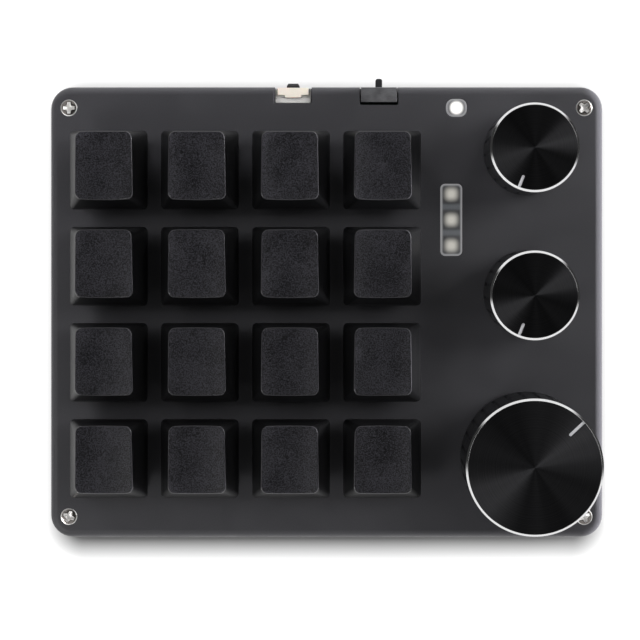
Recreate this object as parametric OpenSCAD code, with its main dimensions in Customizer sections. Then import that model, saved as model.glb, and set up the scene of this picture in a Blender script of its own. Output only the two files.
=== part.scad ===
// A macro keypad: sixteen sprung keys, three knobs that turn and press, two light windows,
// and a slide switch and a push button on the rear edge.
// Millimetres. +X is right, +Y is the rear edge, +Z is up. The origin lies on the desk, at the
// middle of the footprint, with the slide lever counted in the footprint.

/* [Case] */
// Width of the case, left to right
case_w = 130; // [127:1:150]
// Depth of the case, front to rear
case_d = 106; // [103:1:125]
// Height of the case without its feet
case_h = 13.5; // [13.5:0.5:20]
// Radius of the four upright corners
corner_r = 5.2; // [4.6:0.1:7]
// Rounding along the top edge
edge_r = 2; // [1:0.1:2.4]
// Thickness of the side walls
wall = 2; // [1.6:0.1:2.2]
// Thickness of the plate that the key switches clip into
plate_t = 1.5; // [1.3:0.1:1.8]
// Thickness of the bottom cover
floor_t = 2; // [1.5:0.1:2]
// Height of the locating lip inside the walls
lip_h = 1.2; // [0.8:0.1:2]
// Thickness of the locating lip
lip_t = 1.2; // [1:0.1:1.6]
// Height of the rubber feet
foot_h = 1.5; // [1:0.1:3]
// Diameter of the rubber feet
foot_d = 10; // [6:0.5:14]
// Distance of the feet's centres from the case's sides
foot_in = 13; // [9:0.5:18]

/* [Case screws] */
// Distance of the screws from the left and right sides
screw_in_x = 4.5; // [4.5:0.1:6]
// Distance of the screws from the front and rear sides
screw_in_y = 5; // [5:0.1:6]
// Diameter of the countersunk heads
screw_head_d = 4; // [3.6:0.1:4.2]
// Height of the heads
screw_head_h = 1.2; // [1:0.05:1.25]
// Diameter of the shanks
screw_d = 1.9; // [1.7:0.1:2.1]
// Length of a screw under its head's top face
screw_len = 9; // [6:0.5:10]
// Diameter of the posts that take the screws
screw_post_d = 4.4; // [4:0.1:4.6]
// Length of one arm-to-arm slot of the cross recess
recess_w = 2.3; // [2:0.1:2.6]
// Width of the recess slots
recess_t = 0.5; // [0.4:0.05:0.7]
// Depth of the cross recess
recess_h = 0.7; // [0.5:0.05:0.9]

/* [Circuit board] */
// Drop from the plate's top to the board's top
board_drop = 5; // [4.9:0.05:5.1]
// Thickness of the board
board_t = 1.6; // [1.2:0.1:1.6]
// Gap between the board and the side walls
board_gap = 1; // [0.5:0.1:1.5]
// Diameter of the pillars that carry the board
pillar_d = 4; // [3:0.5:5]
// Distance of the board's corner cut-outs from its corners
board_notch = 6.5; // [6:0.1:8]
// Width of the controller chip
chip_w = 7; // [5:0.5:9]
// Height of the controller chip
chip_h = 0.9; // [0.7:0.1:1.4]

/* [Battery] */
// Width of the battery cell
battery_w = 50; // [40:1:60]
// Depth of the battery cell
battery_d = 34; // [25:1:40]
// Thickness of the battery cell
battery_t = 2.8; // [2.4:0.1:2.8]
// Radius of the battery's corners
battery_r = 1.2; // [0.5:0.1:3]

/* [Key field] */
// Distance between the key columns
pitch_x = 21; // [20:0.25:22]
// Distance between the key rows
pitch_y = 22.15; // [20:0.05:22.5]
// Distance of the left column from the case's left side
keys_left = 14.9; // [14.9:0.1:16]
// Distance of the rear row from the case's rear side
keys_rear = 20; // [19:0.1:21]

/* [Key switches] */
// Side of the square cut-out for a switch
hole_w = 14; // [13.8:0.05:14.2]
// Side of the flange that rests on the plate
flange_w = 15.6; // [15:0.1:16]
// Thickness of that flange
flange_t = 1; // [0.8:0.1:1.2]
// Height of the switch cover's top above the plate
cover_top = 6.6; // [6.4:0.1:6.8]
// Width of the cover at its top
cover_top_w = 10.2; // [10:0.1:10.6]
// Depth of the cover at its top
cover_top_d = 9.6; // [9.4:0.1:10]
// Thickness of the cover's roof
cover_roof = 1.2; // [1:0.1:1.4]
// Side of the square cavity in the housing
cavity_w = 10.8; // [10:0.1:11.2]
// Thickness of the housing's floor
housing_floor = 1.4; // [1:0.1:1.6]
// Diameter of the guide post that passes through the board
guide_d = 4; // [3.8:0.1:4.2]
// Travel of a key
key_travel = 4; // [3:0.1:4]

/* [Key stems] */
// Width of the slider in the cover's opening
slider_w = 6.8; // [6.4:0.1:7]
// Depth of the slider
slider_d = 5.5; // [5.2:0.1:5.7]
// Width of the collar that keeps the stem in its switch
collar_w = 8.6; // [8.2:0.1:8.8]
// Depth of the collar
collar_d = 7.2; // [6.8:0.1:7.6]
// Thickness of the collar
collar_t = 1.5; // [1.2:0.1:1.6]
// Length of the cross's arms, end to end
cross_w = 4; // [3.8:0.05:4.2]
// Thickness of the cross's arms
cross_t = 1.15; // [1:0.05:1.3]
// Height of the cross above the slider
cross_h = 3.6; // [3:0.1:4]
// Diameter of the guide pin under the stem
pin_d = 2; // [1.8:0.1:2.2]
// Length of the guide pin
pin_len = 7; // [6.6:0.1:7]
// Outer diameter of the return springs
spring_d = 4.8; // [4:0.1:5.4]
// Wall of the sleeve that stands for a wound spring
spring_t = 0.4; // [0.3:0.05:0.5]

/* [Keycaps] */
// Width of a keycap at its skirt
cap_w = 18; // [17.5:0.1:18.5]
// Depth of a keycap at its skirt
cap_d = 18.2; // [17.8:0.1:18.6]
// Width of the top face
cap_top_w = 12.8; // [12.6:0.1:13.5]
// Depth of the top face
cap_top_d = 15.1; // [14.6:0.1:15.6]
// How far the top face sits behind the skirt's middle
cap_back = 0.84; // [0.5:0.02:1]
// Gap between the plate and a released keycap's skirt
cap_gap = 6.2; // [6:0.1:6.6]
// Height of a keycap
cap_h = 7.7; // [7.5:0.1:9]
// Thickness of the skirt's walls
cap_wall = 1.3; // [1.1:0.1:1.4]
// Thickness of the roof under the middle of the dish
cap_roof = 1.4; // [1.2:0.1:1.5]
// Radius of the dish in the top face
dish_r = 28; // [24:1:40]
// Slope of the top face towards the front, in degrees
dish_tilt = 3; // [0:0.5:5]
// Radius of the keycap's corners at the skirt
cap_skirt_r = 1; // [0.6:0.1:1.6]
// Radius of the keycap's corners at the top face
cap_top_r = 1.6; // [1:0.1:2.2]
// Diameter of the socket under the roof
socket_d = 5.5; // [5.4:0.05:5.6]

/* [Knobs] */
// Distance of the knobs' axes from the case's right side
knobs_right = 18.3; // [17.5:0.1:19]
// Distance of the upper knob's axis from the rear side
upper_rear = 15.5; // [14:0.5:18]
// Distance of the middle knob's axis from the rear side
middle_rear = 48.5; // [44:0.5:50]
// Distance of the large knob's axis from the front side
large_front = 19.1; // [18:0.1:21]
// Diameter of the two small knobs
small_d = 20; // [19.6:0.1:22]
// Diameter of the large knob
large_d = 30.8; // [28:0.1:32]
// Height of the knobs
knob_h = 17; // [16:0.5:20]
// Gap between a released knob and the plate
knob_gap = 1; // [0.8:0.1:1.5]
// Width of the bright turned ring
ring_w = 0.7; // [0.4:0.05:1]
// Height of the bright turned ring
ring_h = 0.5; // [0.3:0.05:0.8]
// Distance between the grooves round a knob
groove_pitch = 3.2; // [2.5:0.1:4]
// Radius of the grooves
groove_r = 0.5; // [0.4:0.05:1]
// Depth of the grooves
groove_depth = 0.35; // [0.2:0.05:0.4]
// Smooth band below the ring
groove_top = 2; // [1.5:0.1:4]
// Smooth band at the knob's foot
groove_foot = 1.2; // [0.8:0.1:3]
// Bevel round a knob's foot
foot_bevel = 0.3; // [0.1:0.05:0.5]
// Width of the pointer grooves
pointer_w = 0.65; // [0.4:0.05:1]
// Depth of the pointer grooves
pointer_h = 0.35; // [0.2:0.05:0.6]
// Length of the small knobs' pointers
small_pointer = 3.3; // [2:0.1:5]
// Length of the large knob's pointer
large_pointer = 4.9; // [3:0.1:7]
// Direction of the small knobs' pointers, anticlockwise from +X
small_dir = 248; // [0:1:359]
// Direction of the large knob's pointer, anticlockwise from +X
large_dir = 43; // [0:1:359]

/* [Rotary encoders] */
// Side of an encoder's square body
encoder_w = 11.8; // [11.4:0.1:12]
// Height of the body above the board
encoder_h = 6.5; // [6.5:0.1:6.8]
// Diameter of the collar round the shaft
sleeve_d = 7; // [6.8:0.1:7.4]
// Height of that collar
sleeve_h = 5; // [4.5:0.1:5.2]
// Diameter of the shaft
shaft_d = 6; // [5.6:0.1:6]
// Length of the shaft above the collar
shaft_out = 8; // [6:0.5:8.5]
// Depth of the flat on the shaft
flat_depth = 1.5; // [1:0.1:1.8]
// Travel of a knob when it is pressed
push_travel = 0.5; // [0.3:0.05:0.5]
// Diameter of the disc that turns with the shaft
rotor_d = 9.4; // [8.8:0.1:9.6]
// Thickness of that disc
rotor_t = 1.6; // [1.2:0.1:1.8]
// Diameter of the plunger under the shaft
plunger_d = 6.6; // [6:0.1:6.8]
// Thickness of the plunger
plunger_t = 0.8; // [0.6:0.05:0.8]
// Diameter of the pin under the plunger
plunger_pin_d = 2; // [1.5:0.1:3]
// Thickness of the encoder's floor and roof
encoder_floor = 0.5; // [0.4:0.05:0.5]

/* [Slide switch] */
// Distance of the slide switch from the case's left side
slide_left = 77.3; // [76.5:0.1:79]
// Width of the metal can
can_w = 8.5; // [8:0.1:8.8]
// Depth of the metal can
can_d = 3.5; // [3.2:0.1:4]
// Height of the metal can above the board
can_h = 5.3; // [5:0.1:6]
// Thickness of the can's walls
can_t = 0.4; // [0.3:0.05:0.5]
// Travel of the lever to each side
lever_travel = 2; // [1.5:0.1:2]
// Width of the lever
lever_w = 1.6; // [1.2:0.1:2]
// Height of the lever
lever_t = 1.5; // [1.2:0.1:1.8]
// How far the lever stands out of the rear edge
lever_out = 2; // [1.5:0.1:3]
// Width of the slider inside the can
lever_block_w = 3.3; // [2.8:0.1:3.4]

/* [Layer button] */
// Distance of the button from the case's left side
button_left = 57.1; // [55:0.1:57.5]
// Width of the button's bracket
bracket_w = 8.3; // [8:0.1:8.6]
// Height of the bracket above the board
bracket_h = 3.6; // [3:0.1:4.4]
// Depth of the bracket's back
bracket_d = 1.1; // [0.9:0.05:1.2]
// Thickness of the bracket's side cheeks
bracket_t = 0.3; // [0.2:0.05:0.4]
// Width of the ivory block
block_w = 7.3; // [7:0.1:7.5]
// Depth of the wide bar of the block
block_d = 1.7; // [1.6:0.05:1.9]
// Height of the ivory block above the board
block_h = 4; // [3.8:0.1:4.6]
// Width of the block's middle tongue
tongue_w = 3.8; // [3:0.1:4.5]
// Width of the push button
button_w = 3; // [2.6:0.1:3.2]
// Depth of the tongue behind the bar
tongue_d = 0.6; // [0.4:0.05:0.7]
// Height of the push button
button_h = 2; // [1.6:0.1:2.2]
// Overhang of the rim that keeps the button in its block, per side
rim_w = 0.4; // [0.3:0.05:0.45]
// Thickness of that rim
rim_t = 0.35; // [0.25:0.05:0.4]
// Length of the button's tapered tip
tip_len = 0.6; // [0.3:0.05:0.7]
// How much narrower the tip is at its end
tip_lean = 0.7; // [0.3:0.05:1]
// How far the button stands out of the rear edge
button_out = 0.9; // [0.6:0.05:1.5]
// Travel of the button
button_travel = 0.3; // [0.2:0.05:0.3]

/* [Light windows] */
// Distance of the status window from the right side
status_right = 34.5; // [34:0.1:35.5]
// Distance of the status window from the rear side
status_rear = 5; // [4.9:0.1:7]
// Width of the status window
status_w = 5; // [4.4:0.1:5.4]
// Depth of the status window
status_d = 4.3; // [3.8:0.1:4.4]
// Corner radius of the status window
status_r = 1.8; // [1:0.1:1.85]
// Distance of the layer window from the right side
layer_right = 35.7; // [35:0.1:36]
// Distance of the layer window from the rear side
layer_rear = 31.3; // [28:0.1:36]
// Width of the layer window
layer_w = 5.2; // [4.6:0.1:5.6]
// Depth of the layer window
layer_d = 17; // [16:0.1:20]
// Corner radius of the layer window
layer_r = 1.2; // [0.6:0.1:2]
// Width of the ledge that holds a window under the plate
ledge_w = 0.6; // [0.4:0.05:0.7]
// Thickness of that ledge
ledge_t = 0.8; // [0.5:0.05:1]
// Gap between a light and the window's leg
led_gap = 0.3; // [0.1:0.05:0.5]
// Distance between the layer lights
led_pitch = 6.05; // [5:0.05:6.2]
// Side of a square light
led_w = 2.6; // [2:0.1:3]
// Height of a light above the board
led_h = 1.7; // [1.2:0.1:1.8]

/* [Charging socket] */
// Distance of the socket from the case's left side
socket_left = 67.1; // [66.9:0.1:67.3]
// Width of the socket's shell
usb_w = 8.94; // [8.8:0.02:9]
// Height of the socket's shell
usb_h = 3.2; // [3:0.05:3.3]
// Depth of the socket's shell
usb_d = 7.3; // [6.5:0.1:9]
// Thickness of the shell's wall
usb_t = 0.3; // [0.25:0.05:0.4]
// Distance of the socket's mouth behind the rear face
usb_in = 0.6; // [0.2:0.1:1]
// Width of the tongue in the socket
usb_tongue_w = 6.7; // [6.4:0.1:6.8]
// Thickness of the tongue in the socket
usb_tongue_t = 0.7; // [0.6:0.05:0.8]

/* [Hidden] */
$fn = 64;
fit = 0.05;          // clearance of a running or a seated fit, per side
loose = 0.2;         // clearance round what only passes through
play = 0.3;          // gap between what moves and what it may not touch
over = 1;            // how far a cutting shape runs past a face
skin = 0.01;         // thickness of the slices that a keycap is blended between
COLS = [1:4];
ROWS = [1:4];
KNOBS = ["upper", "middle", "large"];

// Levels, up from the desk
plate_top = foot_h + case_h;
plate_under = plate_top - plate_t;
floor_top = foot_h + floor_t;
board_top = plate_top - board_drop;
board_under = board_top - board_t;

// Places in the plan, from the middle of the case
drawn_w = 130;             // width of case that the keys', knobs' and windows' distances are for
across = case_w / drawn_w; // so they draw together in a narrower case
left = -case_w / 2;
right = case_w / 2;
front = -case_d / 2;
rear = case_d / 2;
function col_x(c) = left + (keys_left + (c - 1) * pitch_x) * across;
function row_y(r) = rear - keys_rear - (r - 1) * pitch_y;
knob_x = right - knobs_right * across;
function knob_y(k) = k == "upper" ? rear - upper_rear
    : k == "middle" ? rear - middle_rear
    : front + large_front;
function knob_d(k) = k == "large" ? large_d : small_d;
function knob_dir(k) = k == "large" ? large_dir : small_dir;
function pointer_len(k) = k == "large" ? large_pointer : small_pointer;
slide_x = left + slide_left;
button_x = left + button_left;
usb_x = left + socket_left;
status_at = [right - status_right * across, rear - status_rear];
layer_at = [right - layer_right * across, rear - layer_rear];
LIGHTS = [status_at, for (i = [-1:1]) layer_at + [0, i * led_pitch]];

// Inside of the case
inner_w = case_w - 2 * wall;
inner_d = case_d - 2 * wall;
inner_r = corner_r - wall;
board_w = inner_w - 2 * board_gap;
board_d = inner_d - 2 * board_gap;
pillar_in = wall + 4;    // distance of the pillars from the case's sides

// Levels in a key switch, above the plate's top
collar_top = cover_top - cover_roof - play;
collar_foot = collar_top - collar_t;
cavity_foot = housing_floor - board_drop;
pin_foot = collar_foot - pin_len;
guide_bore_foot = pin_foot - key_travel - play;
guide_foot = guide_bore_foot - guide_d / 8;
cover_room_w = collar_w + 2 * play;
cover_room_d = collar_d + 3 * play;

// Levels in a keycap, above the plate's top
cap_top = cap_gap + cap_h;
dish_depth = dish_r - sqrt(dish_r * dish_r - cap_top_w * cap_top_w / 4);
cap_ceiling = cap_top - dish_depth - cap_roof;
cap_over = 0.7;      // how far the uncut cap runs past its nominal top

// Levels in an encoder, above the board
plunger_foot = encoder_floor + 2 * push_travel;
plunger_top = plunger_foot + plunger_t;
plunger_pin_foot = encoder_floor + push_travel + fit;
rotor_well_foot = plunger_top + play;
rotor_well_top = encoder_h - 2 * encoder_floor;
rotor_top = rotor_well_top - 2 * fit;
sleeve_top = encoder_h + sleeve_h;
shaft_top = sleeve_top + shaft_out;

// Hollow under a knob, round the encoder
knob_well_r = encoder_w / sqrt(2) + play;
knob_well_h = board_top + sleeve_top - plate_top - knob_gap + push_travel + 2 * play;
knob_bore_h = board_top + shaft_top - plate_top - knob_gap + play;

// Rear edge parts
edge_set = 0.2;      // how far the rear parts' faces lie inside the rear face
slack = 0.1;         // gap between parts that are only placed together
lever_z = board_top + can_h / 2;
button_z = board_top + block_h / 2 + slack;
block_reach = block_d + tongue_d;
button_reach = block_reach + slack + bracket_d;

// ---------- shared shapes ----------

// Moves the case so that the footprint, with the lever, is centred on the origin.
module seated() translate([0, -lever_out / 2, 0]) children();

module at_keys() for (r = ROWS, c = COLS) translate([col_x(c), row_y(r), plate_top]) children();

module at_encoders() for (k = KNOBS) translate([knob_x, knob_y(k), board_top]) children();

module at_screws() for (x = [left + screw_in_x, right - screw_in_x],
    y = [front + screw_in_y, rear - screw_in_y]) translate([x, y, 0]) children();

module at_pillars() {
    for (x = [left + pillar_in, right - pillar_in]) translate([x, 0, 0]) children();
    for (x = [-case_w / 6, case_w / 6], y = [front + pillar_in, rear - pillar_in])
        translate([x, y, 0]) children();
}

module rounded_rect(w, d, r) {
    square([w, d - 2 * r], center = true);
    square([w - 2 * r, d], center = true);
    for (x = [-1, 1], y = [-1, 1]) translate([x * (w / 2 - r), y * (d / 2 - r)]) circle(r);
}

module rounded_block(w, d, h, r) linear_extrude(h) rounded_rect(w, d, r);

module centred_box(w, d, h) translate([-w / 2, -d / 2, 0]) cube([w, d, h]);

module stadium(w, h) {
    square([w - h, h], center = true);
    for (x = [-1, 1]) translate([x * (w - h) / 2, 0]) circle(h / 2);
}

// A block whose four sides lean in at their own rates.
module taper_block(w0, d0, w1, d1, h) intersection() {
    rotate([90, 0, 0]) linear_extrude(max(d0, d1) + over, center = true)
        polygon([[-w0 / 2, 0], [w0 / 2, 0], [w1 / 2, h], [-w1 / 2, h]]);
    rotate([90, 0, 90]) linear_extrude(max(w0, w1) + over, center = true)
        polygon([[-d0 / 2, 0], [d0 / 2, 0], [d1 / 2, h], [-d1 / 2, h]]);
}

// The outer half of a slab's section: its upper outer corner is rounded.
module edge_section(w, h) {
    square([w, h - edge_r]);
    translate([0, h - edge_r]) square([w - edge_r, edge_r]);
    translate([w - edge_r, h - edge_r]) intersection() {
        circle(edge_r);
        square([edge_r, edge_r]);
    }
}

// A slab with round upright corners and a rounded top edge.
module soft_slab(w, d, h) {
    for (s = [0, 1]) mirror([0, s, 0]) rotate([90, 0, 90])
        linear_extrude(w - 2 * corner_r, center = true) edge_section(d / 2, h);
    for (s = [0, 1]) mirror([s, 0, 0]) translate([w / 2 - corner_r, 0, 0]) rotate([90, 0, 0])
        linear_extrude(d - 2 * corner_r, center = true) edge_section(corner_r, h);
    for (sx = [0, 1], sy = [0, 1]) mirror([sx, 0, 0]) mirror([0, sy, 0])
        translate([w / 2 - corner_r, d / 2 - corner_r, 0])
            rotate_extrude(angle = 90) edge_section(corner_r, h);
}

// ---------- case ----------

module rear_notch(x, w, depth) translate([x - w / 2, rear - depth, board_top - slack])
    cube([w, depth + over, board_drop + over]);

module top_case() color("#2c2c30") seated() difference() {
    translate([0, 0, floor_top]) soft_slab(case_w, case_d, plate_top - floor_top);
    translate([0, 0, floor_top - over])
        rounded_block(inner_w, inner_d, plate_under - floor_top + over, inner_r);
    at_keys() translate([0, 0, -plate_t - over]) centred_box(hole_w, hole_w, plate_t + 2 * over);
    at_encoders() centred_box(encoder_w + 2 * loose, encoder_w + 2 * loose, board_drop + over);
    at_screws() translate([0, 0, plate_top - screw_head_h]) {
        cylinder(h = screw_head_h + fit, r1 = screw_d / 2 + fit, r2 = screw_head_d / 2 + 2 * fit);
        translate([0, 0, -plate_t]) cylinder(h = 2 * plate_t, d = screw_d + 4 * fit);
    }
    rear_notch(slide_x, can_w + 2 * loose, can_d + edge_set + loose);
    rear_notch(button_x, bracket_w + 2 * loose, button_reach + edge_set + loose);
    translate([usb_x, rear + over, board_top + usb_h / 2]) rotate([90, 0, 0])
        linear_extrude(wall + 2 * over) stadium(usb_w + 2 * loose, usb_h + 2 * loose);
    translate(concat(status_at, [plate_under - over]))
        rounded_block(status_w, status_d, plate_t + 2 * over, status_r);
    translate(concat(layer_at, [plate_under - over]))
        rounded_block(layer_w, layer_d, plate_t + 2 * over, layer_r);
}

module bottom_case() color("#26262a") seated() difference() {
    union() {
        translate([0, 0, foot_h]) rounded_block(case_w, case_d, floor_t, corner_r);
        translate([0, 0, floor_top]) intersection() {
            union() {
                difference() {
                    rounded_block(inner_w - 2 * loose, inner_d - 2 * loose, lip_h, inner_r - loose);
                    translate([0, 0, -over]) centred_box(inner_w - 2 * (loose + lip_t),
                        inner_d - 2 * (loose + lip_t), lip_h + 2 * over);
                }
                at_screws() cylinder(h = plate_under - floor_top, d = screw_post_d);
            }
            rounded_block(inner_w - 2 * fit, inner_d - 2 * fit, case_h, inner_r - fit);
        }
        at_pillars() translate([0, 0, floor_top])
            cylinder(h = board_under - floor_top, d = pillar_d);
    }
    at_screws() translate([0, 0, plate_top - screw_len - play])
        cylinder(h = screw_len, d = screw_d + 2 * fit);
}

module case_screws() color("#c9ccd1") seated() at_screws() difference() {
    union() {
        translate([0, 0, plate_top - screw_head_h])
            cylinder(h = screw_head_h, d1 = screw_d, d2 = screw_head_d);
        translate([0, 0, plate_top - screw_len]) cylinder(h = screw_len - recess_h, d = screw_d);
    }
    for (a = [45, 135]) rotate([0, 0, a]) translate([0, 0, plate_top - recess_h])
        centred_box(recess_w, recess_t, recess_h + over);
}

module rubber_feet() color("#151517") seated()
    for (x = [left + foot_in, right - foot_in], y = [front + foot_in, rear - foot_in])
        translate([x, y, 0]) cylinder(h = foot_h, d = foot_d);

module circuit_board() color("#1f4a35") seated() {
    translate([0, 0, board_under]) difference() {
        centred_box(board_w, board_d, board_t);
        for (x = [-1, 1], y = [-1, 1]) translate([x * board_w / 2, y * board_d / 2, -over])
            centred_box(2 * board_notch, 2 * board_notch, board_t + 2 * over);
        for (r = ROWS, c = COLS) translate([col_x(c), row_y(r), -over])
            cylinder(h = board_t + 2 * over, d = guide_d + 2 * loose);
    }
    translate([layer_at[0], 0, board_top - fit]) centred_box(chip_w, chip_w, chip_h + fit);
}

module battery() color("#b9bcc2") seated()
    translate([(col_x(2) + col_x(3)) / 2, 0, floor_top])
        rounded_block(battery_w, battery_d, battery_t, battery_r);

// ---------- key switches ----------

module switch_housing() {
    difference() {
        union() {
            translate([0, 0, -board_drop])
                centred_box(hole_w - 2 * fit, hole_w - 2 * fit, board_drop + flange_t);
            centred_box(flange_w, flange_w, flange_t);
            translate([0, 0, guide_foot])
                cylinder(h = cavity_foot - housing_floor / 2 - guide_foot, d = guide_d);
        }
        translate([0, 0, cavity_foot])
            centred_box(cavity_w, cavity_w, flange_t - cavity_foot + over);
        translate([0, 0, guide_bore_foot])
            cylinder(h = cavity_foot - guide_bore_foot + over, d = pin_d + 2 * fit);
    }
}

module switch_housings() color("#3a3d42") seated() at_keys() switch_housing();

module switch_cover() translate([0, 0, flange_t]) difference() {
    taper_block(hole_w, hole_w, cover_top_w, cover_top_d, cover_top - flange_t);
    taper_block(cavity_w + 2 * play, cavity_w + 2 * play, cover_room_w, cover_room_d,
        cover_top - cover_roof - flange_t);
    centred_box(slider_w + 3 * loose, slider_d + 3 * loose, cover_top);
}

module switch_covers() color("#1c1d20") seated() at_keys() switch_cover();

module switch_springs() color("#d8c27a") seated() at_keys()
    translate([0, 0, cavity_foot]) difference() {
        cylinder(h = collar_foot - cavity_foot - fit, d = spring_d);
        translate([0, 0, -over])
            cylinder(h = collar_foot - cavity_foot + 2 * over, d = spring_d - 2 * spring_t);
    }

module cross(clearance, h) for (a = [0, 90]) rotate([0, 0, a])
    centred_box(cross_w + 2 * clearance, cross_t + 2 * clearance, h);

module stem(r, c) color("#8c5a34") seated() translate([col_x(c), row_y(r), plate_top]) {
    translate([0, 0, pin_foot]) cylinder(h = pin_len + fit, d = pin_d);
    translate([0, 0, collar_foot]) centred_box(collar_w, collar_d, collar_t);
    translate([0, 0, collar_foot])
        centred_box(slider_w, slider_d, cover_top - collar_foot);
    translate([0, 0, cover_top - fit]) cross(0, cross_h + fit);
}

// ---------- keycaps ----------

// A rounded four-sided cone, from the skirt up to the level top, drawn in by inset all round.
module cap_block(inset, foot, top) {
    lean = (top - cap_gap) / cap_h;
    hull() {
        translate([0, 0, foot]) linear_extrude(skin)
            rounded_rect(cap_w - 2 * inset, cap_d - 2 * inset, cap_skirt_r, $fn = 24);
        translate([0, cap_back * lean, top - skin]) linear_extrude(skin)
            rounded_rect(cap_w + (cap_top_w - cap_w) * lean - 2 * inset,
                cap_d + (cap_top_d - cap_d) * lean - 2 * inset, cap_top_r, $fn = 24);
    }
}

module keycap(r, c) color("#232326") seated()
    translate([col_x(c), row_y(r), plate_top]) {
        difference() {
            cap_block(0, cap_gap, cap_top + cap_over);
            cap_block(cap_wall, cap_gap - 2 * skin, cap_ceiling);
            translate([0, cap_back, cap_top - dish_depth]) rotate([90 + dish_tilt, 0, 0])
                translate([0, dish_r, 0])
                    cylinder(h = 2 * cap_d, r = dish_r, center = true, $fn = 128);
        }
        difference() {
            translate([0, 0, cover_top + fit])
                cylinder(h = cap_ceiling - cover_top, d = socket_d);
            translate([0, 0, cover_top]) cross(fit, cross_h + loose);
        }
    }

// ---------- encoders and knobs ----------

module encoder_body() difference() {
    union() {
        centred_box(encoder_w, encoder_w, encoder_h);
        translate([0, 0, encoder_h - fit]) cylinder(h = sleeve_h + fit, d = sleeve_d);
    }
    translate([0, 0, encoder_floor])
        cylinder(h = rotor_well_foot - encoder_floor + fit, d = plunger_d + 3 * loose);
    translate([0, 0, rotor_well_foot])
        cylinder(h = rotor_well_top - rotor_well_foot, d = rotor_d + 3 * loose);
    translate([0, 0, rotor_well_foot])
        cylinder(h = sleeve_top, d = shaft_d + 2 * fit);
}

module encoder_bodies() color("#7d8187") seated() at_encoders() encoder_body();

module plunger(k) color("#e4e1d6") seated() translate([knob_x, knob_y(k), board_top]) {
    translate([0, 0, plunger_pin_foot])
        cylinder(h = plunger_foot - plunger_pin_foot + fit, d = plunger_pin_d);
    translate([0, 0, plunger_foot]) cylinder(h = plunger_t, d = plunger_d);
}

// The section of the flatted shaft, or of the bore that it fits.
module flatted(clearance) difference() {
    circle(d = shaft_d + 2 * clearance);
    translate([shaft_d / 2 - flat_depth + clearance, -shaft_d]) square([shaft_d, 2 * shaft_d]);
}

module shaft(k) color("#b3b6bb") seated()
    translate([knob_x, knob_y(k), board_top]) rotate([0, 0, knob_dir(k)]) {
        translate([0, 0, plunger_top + fit]) cylinder(h = sleeve_top - plunger_top, d = shaft_d);
        translate([0, 0, rotor_top - rotor_t]) cylinder(h = rotor_t, d = rotor_d);
        translate([0, 0, sleeve_top]) linear_extrude(shaft_out) flatted(0);
    }

module knob_turning(d) rotate_extrude() polygon([
    [0, knob_well_h], [knob_well_r, knob_well_h], [knob_well_r, 0], [d / 2 - foot_bevel, 0],
    [d / 2, foot_bevel], [d / 2, knob_h - ring_h], [d / 2 - ring_w, knob_h], [0, knob_h]
]);

module knob(k) {
    d = knob_d(k);
    grooves = round(PI * d / groove_pitch);
    color("#18181a") seated() translate([knob_x, knob_y(k), plate_top + knob_gap])
        rotate([0, 0, knob_dir(k)]) difference() {
            knob_turning(d);
            for (i = [0:grooves - 1]) rotate([0, 0, (i + 0.5) * 360 / grooves])
                translate([d / 2 + groove_r - groove_depth, 0, groove_foot])
                    cylinder(h = knob_h - groove_foot - groove_top, r = groove_r);
            translate([d / 2 - pointer_len(k), -pointer_w / 2, knob_h - pointer_h])
                cube([pointer_len(k) + over, pointer_w, pointer_h + over]);
            linear_extrude(knob_bore_h) flatted(fit);
        }
}

// ---------- rear edge ----------

module slide_can() color("#6a6b70") seated()
    translate([slide_x, rear - edge_set - can_d / 2, board_top]) difference() {
        centred_box(can_w, can_d, can_h);
        translate([0, 0, can_t]) centred_box(can_w - 2 * can_t, can_d - 2 * can_t, can_h - 2 * can_t);
        translate([0, can_d / 2, can_h / 2 - lever_t / 2 - loose])
            centred_box(lever_w + 2 * (lever_travel + loose), can_d, lever_t + 2 * loose);
    }

module slide_lever() color("#1a1a1c") seated() translate([slide_x, rear, lever_z]) {
    block_depth = can_d - 2 * can_t - 2 * loose;
    block_rear = -edge_set - can_t - loose;
    translate([0, block_rear - block_depth / 2, -can_h / 2 + can_t + loose])
        centred_box(lever_block_w, block_depth, can_h - 2 * can_t - 2 * loose);
    translate([0, 0, -lever_t / 2]) linear_extrude(lever_t) {
        translate([-lever_w / 2, block_rear - loose])
            square([lever_w, lever_out - lever_w / 2 - block_rear + loose]);
        translate([0, lever_out - lever_w / 2]) rounded_rect(lever_w, lever_w, lever_w / 3);
    }
}

module button_bracket() color("#a7a8a6") seated()
    translate([button_x, rear - edge_set - button_reach, board_top]) {
        translate([-bracket_w / 2, 0, 0]) cube([bracket_w, bracket_d, bracket_h]);
        for (s = [0, 1]) mirror([s, 0, 0]) translate([bracket_w / 2 - bracket_t, 0, 0])
            cube([bracket_t, button_reach - play, bracket_h]);
    }

module button_block() color("#efe6d8") seated()
    translate([button_x, rear - edge_set, board_top]) difference() {
        union() {
            translate([-block_w / 2, -block_d, 0]) cube([block_w, block_d, block_h]);
            translate([-tongue_w / 2, -block_reach, 0]) cube([tongue_w, block_reach, block_h]);
        }
        translate([0, -block_d, button_z - board_top - button_h / 2 - fit]) {
            translate([-button_w / 2 - fit, -fit, 0])
                cube([button_w + 2 * fit, block_d + over, button_h + 2 * fit]);
            translate([-button_w / 2 - rim_w - loose, -fit, 0])
                cube([button_w + 2 * (rim_w + loose), button_travel + rim_t + 3 * fit, button_h + 2 * fit]);
        }
    }

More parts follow.
